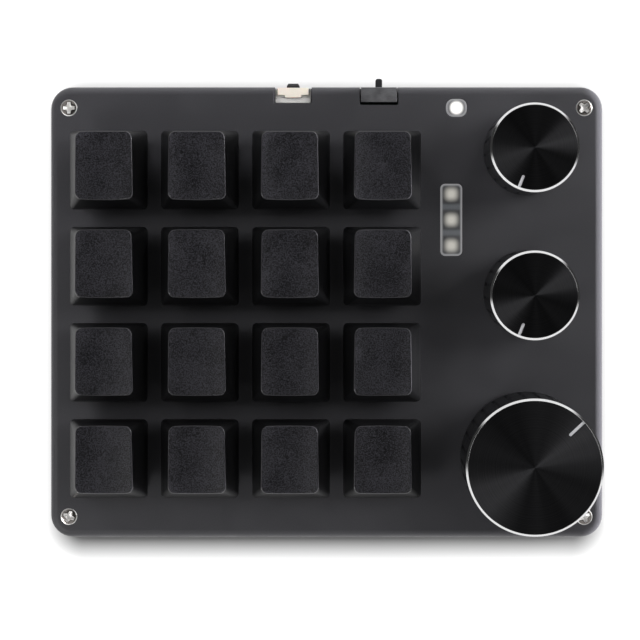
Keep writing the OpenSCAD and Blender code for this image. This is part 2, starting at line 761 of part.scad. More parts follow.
module layer_button() color("#151517") seated()
    translate([button_x, rear - edge_set, button_z]) {
        rim_y = -block_d + button_travel;
        shoulder_y = edge_set + button_out - tip_len;
        translate([-button_w / 2 - rim_w, rim_y, -button_h / 2])
            cube([button_w + 2 * rim_w, rim_t, button_h]);
        translate([-button_w / 2, rim_y, -button_h / 2])
            cube([button_w, shoulder_y - rim_y, button_h]);
        translate([0, shoulder_y - skin, 0]) rotate([-90, 0, 0])
            taper_block(button_w, button_h, button_w - tip_lean, button_h - tip_lean,
                tip_len + skin);
    }

// ---------- lights and socket ----------

// A plug of frosted plastic, flush with the plate, with a ledge under it and a leg to the light
module window_plug(at, w, d, r) translate([at[0], at[1], 0]) {
    leg_foot = board_top + led_h + led_gap;
    translate([0, 0, leg_foot])
        rounded_block(w - 2 * fit, d - 2 * fit, plate_top - leg_foot, r - fit);
    translate([0, 0, plate_under - ledge_t])
        rounded_block(w + 2 * ledge_w, d + 2 * ledge_w, ledge_t, r);
}

module status_window() color("#c8c8c8") seated()
    window_plug(status_at, status_w, status_d, status_r);

module layer_window() color("#9a9a98") seated()
    window_plug(layer_at, layer_w, layer_d, layer_r);

module indicator_leds() color("#fff4dc") seated()
    for (p = LIGHTS) translate([p[0], p[1], board_top]) centred_box(led_w, led_w, led_h);

module usb_socket() color("#b8bbc0") seated()
    translate([usb_x, rear - usb_in, board_top + usb_h / 2]) rotate([90, 0, 0]) {
        difference() {
            linear_extrude(usb_d) stadium(usb_w, usb_h);
            translate([0, 0, -over]) linear_extrude(usb_d)
                stadium(usb_w - 2 * usb_t, usb_h - 2 * usb_t);
        }
        translate([-usb_tongue_w / 2, -usb_tongue_t / 2, over])
            cube([usb_tongue_w, usb_tongue_t, usb_d - 1.5 * over]);
    }

// ---------- the part ----------

top_case();
bottom_case();
case_screws();
rubber_feet();
circuit_board();
battery();
switch_housings();
switch_covers();
switch_springs();
for (r = ROWS, c = COLS) {
    keycap(r, c);
    stem(r, c);
}
encoder_bodies();
for (k = KNOBS) {
    plunger(k);
    shaft(k);
    knob(k);
}
slide_can();
slide_lever();
button_bracket();
button_block();
layer_button();
status_window();
layer_window();
indicator_leds();
usb_socket();
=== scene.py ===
# %% [markdown]
# # A macro keypad with knobs, dressed for its picture
# The engineering model of the keypad is already made: sixty pieces that fit, slide and turn.
# This lesson loads that model as a fixed frame and makes what the eye judges: soft edges,
# dished key tops, spun metal, frosted windows and light. Nothing here may change a size, so
# every dimension is read from the frame or is a small finishing value with a name.

# %% Load the frame
import math
from functools import partialmethod

import bmesh
import bpy
import numpy as np
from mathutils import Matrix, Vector
from mathutils.geometry import delaunay_2d_cdt


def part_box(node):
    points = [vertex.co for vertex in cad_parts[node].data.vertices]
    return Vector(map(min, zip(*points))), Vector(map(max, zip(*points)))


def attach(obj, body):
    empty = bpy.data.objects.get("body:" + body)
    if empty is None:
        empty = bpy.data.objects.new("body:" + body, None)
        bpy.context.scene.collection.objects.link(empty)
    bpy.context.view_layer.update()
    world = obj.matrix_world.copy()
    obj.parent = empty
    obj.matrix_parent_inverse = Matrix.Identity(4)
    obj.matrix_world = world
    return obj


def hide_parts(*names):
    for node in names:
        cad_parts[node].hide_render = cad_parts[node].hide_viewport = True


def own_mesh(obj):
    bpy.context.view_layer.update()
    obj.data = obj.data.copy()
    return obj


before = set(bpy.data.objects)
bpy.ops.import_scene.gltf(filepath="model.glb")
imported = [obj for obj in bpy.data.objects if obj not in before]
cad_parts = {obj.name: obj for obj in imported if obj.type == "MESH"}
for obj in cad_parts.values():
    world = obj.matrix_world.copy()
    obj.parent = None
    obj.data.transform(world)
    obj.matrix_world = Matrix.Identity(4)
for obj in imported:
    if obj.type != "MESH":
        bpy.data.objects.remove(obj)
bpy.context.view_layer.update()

MM = 0.001
ROWS = COLS = (1, 2, 3, 4)
KNOBS = ("upper", "middle", "large")

# %% [markdown]
# ## The camera
# The photograph looks straight down. Rows of equal keys stay equally wide from the middle to
# the edge of the picture, so the lens is a longish one some 35 cm above the plate. Tall things
# lean away from the point straight below the lens: the knobs lean right and the rear keys lean
# up, and that places this point right of and above the middle of the picture. The frame is
# therefore slid sideways with the camera's shift, and the camera itself isn't tilted.

# %% Set the camera over the keypad
case_low, case_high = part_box("top_case")
case_middle = (case_low + case_high) / 2
plate_top = case_high.z

PICTURE = 640                    # pixels along each side of the square picture
PLATE_SCALE = 4.26               # pixels to a millimetre at the plate's level
CAMERA_OVER = 350 * MM           # from the plate's top up to the lens
UNDER_LENS = (348, 250)          # pixel straight below the lens
CASE_PIXEL = (326.55, 312.25)    # pixel of the case's middle
SENSOR = 36                      # its width in mm
NEAREST = 10 * MM                # nothing nearer to the lens is drawn

camera = bpy.data.objects.new("camera", bpy.data.cameras.new("camera"))
bpy.context.collection.objects.link(camera)
bpy.context.scene.camera = camera
camera.data.sensor_width = SENSOR
camera.data.lens = PLATE_SCALE / MM * CAMERA_OVER / PICTURE * SENSOR
camera.data.shift_x = (PICTURE / 2 - UNDER_LENS[0]) / PICTURE
camera.data.shift_y = (UNDER_LENS[1] - PICTURE / 2) / PICTURE
camera.location = (
    case_middle.x + (UNDER_LENS[0] - CASE_PIXEL[0]) / PLATE_SCALE * MM,
    case_middle.y - (UNDER_LENS[1] - CASE_PIXEL[1]) / PLATE_SCALE * MM,
    plate_top + CAMERA_OVER,
)
camera.data.clip_start = NEAREST
bpy.context.scene.view_settings.view_transform = "Standard"
print("lens", round(camera.data.lens, 1), "mm at", [round(v / MM, 1) for v in camera.location])

# %% [markdown]
# ## Node helpers
# Materials and Geometry Nodes are both trees of nodes. put() adds a node and fills its inputs,
# where a value may be a number or another node's output. An Amount is an output that can stand
# in a sum, so that a formula reads like one: every + or * adds a Math node behind the scenes.

# %% Add nodes to a tree, and sums of their outputs
def put(tree, kind, sockets=(), **settings):
    """Adds a node, sets its options, and fills or links its inputs."""
    node = tree.nodes.new(kind)
    for key, value in settings.items():
        setattr(node, key, value)
    for key, value in dict(sockets).items():
        value = value.socket if isinstance(value, Amount) else value
        if isinstance(value, bpy.types.NodeSocket):
            tree.links.new(value, node.inputs[key])
        else:
            node.inputs[key].default_value = value
    return node


class Amount:
    """A node's output that takes part in sums as a number does."""

    def __init__(self, tree, socket):
        self.tree, self.socket = tree, socket

    def calc(self, operation, *others):
        sums = put(self.tree, "ShaderNodeMath", enumerate((self, *others)), operation=operation)
        return Amount(self.tree, sums.outputs[0])

    def into(self, socket):
        self.tree.links.new(self.socket, socket)

    def __rsub__(self, other):
        return self * -1.0 + other


SIGNS = {"add": "ADD", "sub": "SUBTRACT", "mul": "MULTIPLY", "truediv": "DIVIDE",
         "pow": "POWER", "gt": "GREATER_THAN", "lt": "LESS_THAN"}
for sign, operation in SIGNS.items():
    setattr(Amount, f"__{sign}__", partialmethod(Amount.calc, operation))
print("an Amount can:", ", ".join(SIGNS))


# %% Ranges, vectors and choices
def spread(value, low, high, to_low=0.0, to_high=1.0, smooth=False):
    """An amount between low and high becomes one between to_low and to_high, and no more."""
    kind = "SMOOTHSTEP" if smooth else "LINEAR"
    ends = enumerate((value, low, high, to_low, to_high))
    ranged = put(value.tree, "ShaderNodeMapRange", ends, interpolation_type=kind)
    return Amount(value.tree, ranged.outputs[0])


def vector(tree, operation, *terms):
    """One operation on points or vectors."""
    return put(tree, "ShaderNodeVectorMath", enumerate(terms), operation=operation).outputs[0]


def length_of(tree, where):
    measured = put(tree, "ShaderNodeVectorMath", {0: where}, operation="LENGTH")
    return Amount(tree, measured.outputs["Value"])


def xyz(tree, where):
    """The three coordinates of a point."""
    return [Amount(tree, s) for s in put(tree, "ShaderNodeSeparateXYZ", {0: where}).outputs]


def strongest(amounts):
    """The largest of several amounts."""
    largest = amounts[0]
    for other in amounts[1:]:
        largest = largest.calc("MAXIMUM", other)
    return largest


def ray_is(tree, *kinds):
    """1 for a ray of one of these kinds, and 0 for any other."""
    rays = put(tree, "ShaderNodeLightPath").outputs
    return strongest([Amount(tree, rays[f"Is {kind} Ray"]) for kind in kinds])


def mix_of(tree, share, first, second):
    """The colour that runs from first to second with share. Each may be an output."""
    ends = {n: end if isinstance(end, bpy.types.NodeSocket) else (*end, 1)
            for n, end in ((6, first), (7, second))}
    return put(tree, "ShaderNodeMix", {"Factor": share, **ends}, data_type="RGBA").outputs[2]


def inside_edge(tree, where, middle, size, radius):
    """How far a point lies inside a rounded rectangle's edge, in millimetres; less than 0
    outside."""
    core = (size[0] / 2 - radius, size[1] / 2 - radius, 0)
    away = vector(tree, "ABSOLUTE", vector(tree, "SUBTRACT", where, (*middle, 0)))
    past = vector(tree, "SUBTRACT", away, core)
    x, y, _ = xyz(tree, past)
    outside = vector(tree, "MULTIPLY", vector(tree, "MAXIMUM", past, (0, 0, 0)), (1, 1, 0))
    within = x.calc("MAXIMUM", y).calc("MINIMUM", 0.0)
    return radius - (length_of(tree, outside) + within)


print("eight more node helpers")

# %% [markdown]
# ## Finishes
# No real surface is one flat colour. Moulded plastic has a fine grain that the mould was
# etched with, coated metal is faintly mottled, and turned metal has rings from the cutter. The
# patterns below are made of noise in Object coordinates, which here are true metres, so that a
# grain of 0.2 mm is 0.2 mm on every piece. Bump comes from the same noise as the colour.

# %% A finish starts as one Principled shader
NOISE_RANGE = (0.3, 0.7)         # nearly all noise lies in here


def new_finish(name, colour, roughness, metallic=0.0, **constants):
    """A material with its constant values set on the shader, its tree and its shader node."""
    material = bpy.data.materials.new(name)
    material.use_nodes = True
    shader = material.node_tree.nodes["Principled BSDF"]
    shader.inputs["Base Color"].default_value = (*colour, 1)
    shader.inputs["Roughness"].default_value = roughness
    shader.inputs["Metallic"].default_value = metallic
    for key, value in constants.items():
        shader.inputs[key.replace("_", " ")].default_value = value
    material.diffuse_color = (*colour, 1)
    return material, material.node_tree, shader


def place_of(tree, scale=(1, 1, 1), offset=(0, 0, 0)):
    """The point's place on the object in millimetres, stretched for brushed patterns."""
    given = {"Vector": put(tree, "ShaderNodeTexCoord").outputs["Object"],
             "Scale": [s / MM for s in scale], "Location": offset}
    return put(tree, "ShaderNodeMapping", given).outputs[0]


def noise(tree, where, size, detail=2.0, rough=0.5):
    """Noise from 0 to 1 whose grains are about size millimetres across."""
    given = {"Vector": where, "Scale": 1 / size, "Detail": detail, "Roughness": rough}
    return Amount(tree, put(tree, "ShaderNodeTexNoise", given).outputs[0])


def mottled(shader, share, colour, mottle):
    """The base colour, from darker to lighter by mottle as share goes from 0 to 1."""
    ends = [tuple(min(1.0, c * f) for c in colour) for f in (1 - mottle, 1 + mottle)]
    share.tree.links.new(mix_of(share.tree, share, *ends), shader.inputs["Base Color"])


def bump(shader, height, depth):
    """Raises the surface by up to depth millimetres where height is 1."""
    given = {"Height": height, "Strength": 1.0, "Distance": depth * MM}
    raised = put(height.tree, "ShaderNodeBump", given)
    height.tree.links.new(raised.outputs[0], shader.inputs["Normal"])


print("noise is stretched over", NOISE_RANGE)

# %% Moulded and coated finishes, brushed and plated finishes
FINE_SHARE = 0.85                # of the grain in a moulded colour; the rest is mottling
MOTTLE_SIZE = 22                 # of the mottling, in grains
PATCH_GLOSS = 0.05               # how much a plastic's roughness varies from place to place
DULL_PATCH = 2.5                 # size of a metal's dull patches, in mm
PATCH_BRIGHT, PATCH_DULL = 0.06, 0.08      # how much its roughness varies, down and up
FINEST = 0.03                    # least roughness of all


def moulded(name, colour, roughness, grain=0.25, depth=0.006, mottle=0.18, crisp=0.2,
            **constants):
    """Plastic, rubber or a coating: an even grain, sharper where crisp is small, and a faint
    unevenness of colour."""
    material, tree, shader = new_finish(name, colour, roughness, **constants)
    where = place_of(tree)
    fine = noise(tree, where, grain, detail=3.0, rough=0.6)
    broad = noise(tree, where, MOTTLE_SIZE * grain, detail=3.0)
    both = fine * FINE_SHARE + broad * (1 - FINE_SHARE)
    mottled(shader, spread(both, 0.5 - crisp, 0.5 + crisp), colour, mottle)
    gloss = (roughness - PATCH_GLOSS, roughness + PATCH_GLOSS)
    spread(broad, *NOISE_RANGE, *gloss).into(shader.inputs["Roughness"])
    bump(shader, fine, depth)
    return material


def brushed(name, colour, roughness, lines=(1, 1, 1), streak=0.12, depth=0.002, mottle=0.15):
    """Sheet or turned metal: streaks that run where lines is small, and dull patches."""
    material, tree, shader = new_finish(name, colour, roughness, 1.0)
    fine = noise(tree, place_of(tree, lines), streak, detail=4.0, rough=0.65)
    broad = noise(tree, place_of(tree), DULL_PATCH)
    mottled(shader, spread(fine, *NOISE_RANGE), colour, mottle)
    gloss = (max(FINEST, roughness - PATCH_BRIGHT), roughness + PATCH_DULL)
    spread(broad, *NOISE_RANGE, *gloss).into(shader.inputs["Roughness"])
    bump(shader, fine, depth)
    return material


print("two families of finish")

# %% [markdown]
# ## Mesh helpers
# Most pieces here are lofts: rings of equally many points, joined one to the next. A rounded
# rectangle makes the ring of a case, a keycap, a window or a cutter, and a ring of one point
# closes an end. Meshes are written straight in the frame's metres, so every object stays at
# the origin, which keeps a pattern on Object coordinates true.

# %% Outlines
def rounded(width, depth, radius, corner=8, side=6):
    """Points round a rounded rectangle, anticlockwise, with side points along each side."""
    points = []
    for quarter, (sx, sy) in enumerate(((1, 1), (-1, 1), (-1, -1), (1, -1))):
        mx, my = sx * (width / 2 - radius), sy * (depth / 2 - radius)
        arc = [(quarter + s / corner) * math.pi / 2 for s in range(corner + 1)]
        points += [(mx + radius * math.cos(a), my + radius * math.sin(a)) for a in arc]
    full = []
    for n, (ax, ay) in enumerate(points):
        full.append((ax, ay))
        if n % (corner + 1) == corner:
            bx, by = points[(n + 1) % len(points)]
            steps = [s / (side + 1) for s in range(1, side + 1)]
            full += [(ax + (bx - ax) * t, ay + (by - ay) * t) for t in steps]
    return full


def square(width, depth):
    w, d = width / 2, depth / 2
    return [(w, -d), (w, d), (-w, d), (-w, -d)]


def circle(diameter, steps=40):
    angles = [2 * math.pi * s / steps for s in range(steps)]
    return [(diameter / 2 * math.cos(a), diameter / 2 * math.sin(a)) for a in angles]


def cross_of(width, thickness, inner=1.0):
    """A cross's outline. The four inner corners lie inner times as far out as they should."""
    w, t = width / 2, thickness / 2
    arm, outline = [(w, -t), (w, t), (t * inner, t * inner)], []
    for _ in range(4):
        outline += arm
        arm = [(-y, x) for x, y in arm]
    return outline


def turned(outline, angle):
    c, s = math.cos(angle), math.sin(angle)
    return [(x * c - y * s, x * s + y * c) for x, y in outline]


def ring(outline, x, y, z):
    """An outline set at a height."""
    return [(x + px, y + py, z) for px, py in outline]


print("a rounded rectangle has", len(rounded(10, 10, 1)), "points")


# %% Lofts and meshes
def loft(rings):
    """Points and faces of the skin over the rings. A ring of one point is a pole, and a full
    ring at an end gets a flat lid."""
    points, faces, starts = [], [], []
    for row in rings:
        starts.append(len(points))
        points += row
    for a, b, low, high in zip(starts, starts[1:], rings, rings[1:]):
        count = max(len(low), len(high))
        for n in range(count):
            m = (n + 1) % count
            if len(low) == 1:
                faces.append((a, b + m, b + n))
            elif len(high) == 1:
                faces.append((a + n, a + m, b))
            else:
                faces.append((a + n, a + m, b + m, b + n))
    if len(rings[0]) > 1:
        faces.append(tuple(range(len(rings[0])))[::-1])
    if len(rings[-1]) > 1:
        faces.append(tuple(starts[-1] + n for n in range(len(rings[-1]))))
    return points, faces


def opened(mesh):
    """A mesh in the form that can be edited face by face."""
    shell = bmesh.new()
    shell.from_mesh(mesh)
    return shell


def closed(shell, mesh, outwards=True):
    """Writes an edited shell back, with its faces turned outwards."""
    if outwards:
        bmesh.ops.recalc_face_normals(shell, faces=shell.faces)
    shell.to_mesh(mesh)
    shell.free()


def merged(name, parts):
    """One mesh in metres from several (points, faces) in millimetres."""
    points, faces = [], []
    for some_points, some_faces in parts:
        faces += [tuple(len(points) + n for n in face) for face in some_faces]
        points += [tuple(v * MM for v in p) for p in some_points]
    mesh = bpy.data.meshes.new(name)
    mesh.from_pydata(points, [], faces)
    closed(opened(mesh), mesh)
    return mesh


cone = loft([ring(circle(1), 0, 0, 0), [(0, 0, 1)]])
print("a ring, a pole and a lid give", len(cone[1]), "faces")


# %% Objects and pieces
def add_object(name, mesh, *materials):
    """Links a mesh as an object at the origin, with its materials."""
    mesh.name = name
    made = bpy.data.objects.new(name, mesh)
    bpy.context.collection.objects.link(made)
    for material in materials:
        mesh.materials.append(material)
    return made


def smooth(mesh, degrees=32):
    """Soft shading that stays crisp at real edges."""
    mesh.shade_smooth()
    mesh.set_sharp_from_angle(angle=math.radians(degrees))


def applied(made):
    """Turns an object's live modifiers into plain mesh."""
    shown = made.evaluated_get(bpy.context.evaluated_depsgraph_get())
    mesh = bpy.data.meshes.new_from_object(shown)
    made.modifiers.clear()
    old, made.data = made.data, mesh
    bpy.data.meshes.remove(old)
    mesh.name = made.name


def evened(made):
    """Shades a piece with narrow bevels so that its large faces look flat."""
    flat = made.modifiers.new("flat", "WEIGHTED_NORMAL")
    flat.keep_sharp = True
    applied(made)


def moved_copy(mesh, x, y, z=0):
    """A copy of a mesh, moved by millimetres."""
    copy = mesh.copy()
    co = np.empty(len(copy.vertices) * 3)
    copy.vertices.foreach_get("co", co)
    co = co.reshape(-1, 3) + np.array([x, y, z]) * MM
    copy.vertices.foreach_set("co", co.ravel())
    return copy


def dressed(made, body, slot, *nodes):
    """Rides the piece on its body, takes a slot that is not used, and lets it stand for the
    frame's nodes.
    """
    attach(made, body)
    if nodes:
        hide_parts(*nodes)
    count = sum(len(p.vertices) - 2 for p in made.data.polygons)
    print(f"{made.name}: {count} triangles on {body}")


def in_mm(node):
    """A node's lowest and highest corner, in millimetres."""
    low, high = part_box(node)
    return low / MM, high / MM


def middle_of(node):
    low, high = in_mm(node)
    return (low.x + high.x) / 2, (low.y + high.y) / 2


print("the case's middle is at", [round(v, 2) for v in middle_of("top_case")], "mm")

# %% [markdown]
# ## The floor, the light and the air
# The photograph is cut out on pure white, with a soft shadow under the near edge only. The
# floor is a pale sheet with a glow of its own for the camera and the shiny parts. In a box in
# front of the keypad that glow fades out, which is a painted shadow laid over the keypad's real
# shadow there. The room is a white tent that is bright low down and dim overhead, where the
# camera hangs: that is why the level black faces stay black and every rounded edge shines. Two
# gaps in the tent leave the dark stretches on the knobs' bright rings. Matte surfaces get most of
# their light from the lamps, and two small ones behind the keypad make its rear lighter than its
# front.

# %% Lay the floor
FLOOR_SIZE = 4.0                 # in metres
PAPER, PAPER_ROUGH = (0.22, 0.22, 0.22), 0.9
GLOW = 0.95                      # the floor's own glow, away from the shadow
# a painted shadow over the real one: the glow is taken away near a box in front of the keypad
SHADOW_NEAR, SHADOW_FAR = 3.0, 8.4          # where the shadow is full and gone, in mm
TAIL_NEAR, TAIL_FAR, TAIL = 8.0, 14.0, 0.06     # a last faint stretch of it
SHADOW_INSET = 4.5               # of the shadow from the sides
SHADOW_CORNER = 1.0
floor_mesh = bpy.data.meshes.new("floor")
floor_mesh.from_pydata([(x, y, 0) for x, y in square(FLOOR_SIZE, FLOOR_SIZE)], [],
                       [(0, 1, 2, 3)])
paper, tree, shader = new_finish("white_paper", PAPER, PAPER_ROUGH)
painted_shadow_size = ((case_high.x - case_low.x) / MM - 2 * SHADOW_INSET,
              (case_high.y - case_low.y) / MM - SHADOW_INSET)
painted_shadow_middle = (case_middle.x / MM, case_middle.y / MM - SHADOW_INSET / 2)
depth = inside_edge(tree, place_of(tree), painted_shadow_middle, painted_shadow_size, SHADOW_CORNER)
# painted shadow: the glow fades to nothing towards the box, over the keypad's real shadow
glow_level = (spread(depth, -SHADOW_FAR, -SHADOW_NEAR, GLOW - TAIL, 0.0)
              + spread(depth, -TAIL_FAR, -TAIL_NEAR, TAIL, 0.0))
glow = put(tree, "ShaderNodeEmission", {"Color": (1, 1, 1, 1), "Strength": glow_level})
nothing = put(tree, "ShaderNodeEmission", {"Strength": 0.0})
seen = ray_is(tree, "Camera", "Glossy", "Transmission")
lit = put(tree, "ShaderNodeMixShader", {0: seen, 1: nothing.outputs[0], 2: glow.outputs[0]})
whole = put(tree, "ShaderNodeAddShader", {0: shader.outputs[0], 1: lit.outputs[0]})
tree.links.new(whole.outputs[0], tree.nodes["Material Output"].inputs["Surface"])
floor = add_object("floor", floor_mesh, paper)
print("floor", FLOOR_SIZE, "m wide")

# %% Light the room
ROOM_LOW, ROOM_HIGH = 0.85, 0.22     # brightness of the tent at the horizon and high up
ROOM_EDGE = (0.4, 0.65)              # upward share where one runs into the other
CAMERA_PATCH = 0.03                  # brightness straight overhead, where the camera hangs
PATCH_EDGE = (0.93, 0.98)
TENT_GAPS = ((14, 27), (166, 24))    # direction and half width of each gap, in degrees
GAP_LEVEL, GAP_SOFT, GAP_EDGE = 0.04, 7, (0.5, 0.7)
ROOM_LIGHT = 0.7                     # share of the tent's light that reaches matte surfaces
JUST_OVER = 1.0001                   # keeps the level share of a direction above zero
world = bpy.data.worlds.new("room")
bpy.context.scene.world = world
world.use_nodes = True
tree = world.node_tree
background = tree.nodes["Background"].inputs
background["Color"].default_value = (1, 1, 1, 1)
east, north, up = xyz(tree, put(tree, "ShaderNodeTexCoord").outputs["Generated"])
level = spread(up, *ROOM_EDGE, ROOM_LOW, ROOM_HIGH, smooth=True)
level = spread(up, *PATCH_EDGE, smooth=True) * (CAMERA_PATCH - ROOM_HIGH) + level
level_way = (JUST_OVER - up ** 2.0).calc("SQRT")
low_down = spread(up, *GAP_EDGE, 1.0, 0.0, smooth=True)
for direction, half_width in TENT_GAPS:
    way = math.radians(direction)
    facing = (north * math.sin(way) + east * math.cos(way)) / level_way
    edges = [math.cos(math.radians(half_width + soft)) for soft in (GAP_SOFT, -GAP_SOFT)]
    gap = spread(facing, *edges, smooth=True) * low_down
    level = level * (gap * (GAP_LEVEL - 1) + 1.0)
mirrored = ray_is(tree, "Glossy", "Transmission")
level = level * (mirrored * (1 - ROOM_LIGHT) + ROOM_LIGHT)
level.calc("MAXIMUM", ray_is(tree, "Camera")).into(background["Strength"])
print("a white tent with", len(TENT_GAPS), "gaps")

# %% Hang the lamps
# name, place and size in metres, watts, and whether shiny parts mirror it: five would draw
# wrong wedges on the spun tops, and the rim lamp would fill the dark stretches of the rings
LAMPS = (
    ("right_lamp", (0.82, 0.3, 0.75), (0.4, 0.4), 5.5, True),
    ("left_lamp", (-0.66, -0.56, 0.75), (0.4, 0.4), 4, True),
    ("left_high_lamp", (-0.45, 0.25, 1.05), (0.35, 0.35), 1.0, False),
    ("right_high_lamp", (0.45, 0.25, 1.05), (0.35, 0.35), 1.0, False),
    ("left_rear_lamp", (-0.15, 0.2, 0.11), (0.1, 0.06), 0.36, False),
    ("right_rear_lamp", (0.14, 0.2, 0.11), (0.1, 0.06), 0.24, False),
    ("left_low_lamp", (-1.3, -0.1, 0.25), (0.8, 0.2), 4, False),
    ("rim_lamp", (1.3, 0.0, 0.032), (0.9, 0.05), 190, False),
)
for name, where, size, watts, mirrored in LAMPS:
    data = bpy.data.lights.new(name, "AREA")
    data.shape, data.size, data.size_y = "RECTANGLE", *size
    data.energy = watts
    lamp = bpy.data.objects.new(name, data)
    bpy.context.collection.objects.link(lamp)
    lamp.location = where
    lamp.rotation_euler = Vector(where).to_track_quat("Z", "Y").to_euler()
    lamp.visible_camera, lamp.visible_glossy = False, mirrored
print(len(LAMPS), "lamps that face the keypad")

# %% [markdown]
# ## The finishes of this keypad
# The case is a metal shell with a fine matte coating, a little blue, which the photograph shows
# softly mottled. Keycaps are etched plastic: darker, with a grain that can just be seen. The
# knobs are black anodised, and their tops were turned on a lathe, so the light draws wedges on
# them. Parts that hide inside get the same care, because the part is looked at from all sides.

# %% Black coatings and plastics
# for each: name, colour, roughness, size and depth of the grain in mm, mottle and crispness
case_coat = moulded("case_coat", (0.0305, 0.03, 0.034), 0.5, 0.3, 0.008, 0.14)
cover_coat = moulded("cover_coat", (0.028, 0.028, 0.031), 0.6, 0.4, 0.012, 0.15)
cap_grain = moulded("cap_grain", (0.0125, 0.0122, 0.0148), 0.42, 0.27, 0.05, 0.9, 0.07,
                    Specular_IOR_Level=0.25)
# the caps' rim and sides are copies of the scoop's plastic: the rim is smoother and painted
# lighter as a highlight, and the sides are painted darker as shade
cap_rim = moulded("cap_rim", (0.026, 0.0255, 0.0285), 0.3, 0.3, 0.004, 0.2)
cap_side = moulded("cap_side", (0.0035, 0.0035, 0.0038), 0.4, 0.4, 0.01, 0.3,
                   Specular_IOR_Level=0.17)
lever_plastic = moulded("lever_plastic", (0.012, 0.012, 0.013), 0.4, 0.15, 0.004)
rubber = moulded("rubber", (0.015, 0.015, 0.016), 0.85, 0.35, 0.02, 0.25)
switch_plastic = moulded("switch_plastic", (0.02, 0.02, 0.022), 0.3, 0.3, 0.002)
print("eight black finishes")

# %% Coloured plastics, and the tinned sheet of the bracket
housing_nylon = moulded("housing_nylon", (0.06, 0.065, 0.07), 0.5, 0.3, 0.005)
stem_plastic = moulded("stem_plastic", (0.25, 0.1, 0.04), 0.35, 0.3, 0.002)
plunger_nylon = moulded("plunger_nylon", (0.75, 0.72, 0.65), 0.4, 0.3, 0.003, 0.05)
ivory_nylon = moulded("ivory_nylon", (0.75, 0.685, 0.6), 0.45, 0.2, 0.006, 0.06,
                      Subsurface_Weight=0.15, Subsurface_Scale=0.3 * MM)
tinned_sheet = moulded("tinned_sheet", (0.62, 0.61, 0.59), 0.35, 0.3, 0.004, 0.1)
board_mask = moulded("board_mask", (0.02, 0.075, 0.04), 0.35, 0.5, 0.01, 0.25)
light_body = moulded("light_body", (0.9, 0.86, 0.74), 0.4, 0.3, 0.003, 0.06)
print("seven coloured finishes")

# %% Bright and dull metals
# for each: name, colour, roughness, and where given the direction and width of its streaks
nickel = brushed("nickel", (0.8, 0.74, 0.7), 0.12, streak=0.3, depth=0.001, mottle=0.1)
recess_metal = brushed("recess_metal", (0.95, 0.92, 0.9), 0.5, streak=0.3, mottle=0.1)
can_sheet = brushed("can_sheet", (0.32, 0.32, 0.335), 0.42, (0.15, 1, 1), 0.15)
socket_sheet = brushed("socket_sheet", (0.5, 0.51, 0.53), 0.28, (1, 0.15, 1), 0.15)
turned_steel = brushed("turned_steel", (0.55, 0.55, 0.57), 0.25, (0.3, 0.3, 1), 0.1)
encoder_zinc = brushed("encoder_zinc", (0.28, 0.29, 0.31), 0.45, streak=0.4, depth=0.01,
                       mottle=0.2)
foil_pouch = brushed("foil_pouch", (0.6, 0.61, 0.63), 0.32, streak=1.2, depth=0.02, mottle=0.08)
spring_wire = brushed("spring_wire", (0.72, 0.58, 0.3), 0.25, streak=0.2)
print("eight metal finishes")

# %% [markdown]
# ## The knobs' finishes
# A face that was turned on a lathe has thousands of fine rings. They blur a lamp along the
# radius only, so a round lamp shows as two opposite wedges. That is anisotropy: the shader
# needs its strength and the direction of the rings, which the Tangent node gives round the
# piece's own middle. The visible, coarser rings are noise on the distance from the axis. Faint
# lighter and darker sectors are noise on the direction from it, a painted sheen in the colour
# beside the real wedges. The whole pattern turns with the knob.

# %% Spun top, satin side and diamond-cut ring
SPUN_ROUGH, SPUN_MOTTLE = 0.42, 0.45
RING_PITCH, RING_DEPTH = 0.16, 0.0015      # of the visible rings, in mm
# the rings are the metal's own; the sectors are a painted sheen in the colour
STREAK_SHARE, SHEEN_SECTORS = 0.4, 1.7           # weight of the rings, and how many sectors show
SPUN_RANGE = (0.35, 0.65)


def spun(name, colour, axis, anisotropy):
    """Metal turned round axis (in millimetres), with rings, and with faint lighter and darker
    sectors round the axis that are a painted sheen in its colour."""
    material, tree, shader = new_finish(name, colour, SPUN_ROUGH, 1.0, Anisotropic=anisotropy,
                                        Anisotropic_Rotation=0.25)
    along_rings = put(tree, "ShaderNodeTangent", direction_type="RADIAL", axis="Z")
    tree.links.new(along_rings.outputs[0], shader.inputs["Tangent"])
    where = place_of(tree, offset=(-axis[0], -axis[1], 0))
    flat = vector(tree, "MULTIPLY", where, (1, 1, 0))
    turns = {"W": length_of(tree, flat) / RING_PITCH, "Scale": 1.0, "Detail": 3.0}
    streak = Amount(tree, put(tree, "ShaderNodeTexNoise", turns, noise_dimensions="1D").outputs[0])
    aim = vector(tree, "NORMALIZE", flat)
    # painted sheen: the colour goes lighter and darker in sectors round the axis
    sector_sheen = noise(tree, aim, 1 / SHEEN_SECTORS, detail=1.0)
    both = streak * STREAK_SHARE + sector_sheen * (1 - STREAK_SHARE)
    mottled(shader, spread(both, *SPUN_RANGE), colour, SPUN_MOTTLE)
    bump(shader, streak, RING_DEPTH)
    return material


knob_side = brushed("knob_side", (0.11, 0.11, 0.117), 0.38, (1, 1, 0.2), 0.15)
cut_ring = brushed("cut_ring", (0.94, 0.94, 0.95), 0.07, streak=0.25, depth=0.001, mottle=0.06)
pointer_paint = moulded("pointer_paint", (0.6, 0.6, 0.62), 0.35, 0.2, 0.003, 0.1)
print("three knob finishes, and a recipe for the tops")

# %% [markdown]
# ## Cut shapes out of flat faces
# A flat face with a hole in it, such as a knob's top with its pointer slot, is filled between
# its outer and inner edge loops and needs no boolean. The hole's walls then go down from the
# inner loop.

# %% Fill between loops and sink a slot
SAME = 1e-6                      # lengths that differ by less are equal, in metres
WELD = 0.001                     # points nearer than this become one, in mm
TIP_DEPTH = 1.3                  # of a pointed pocket, as a share of its walls' depth


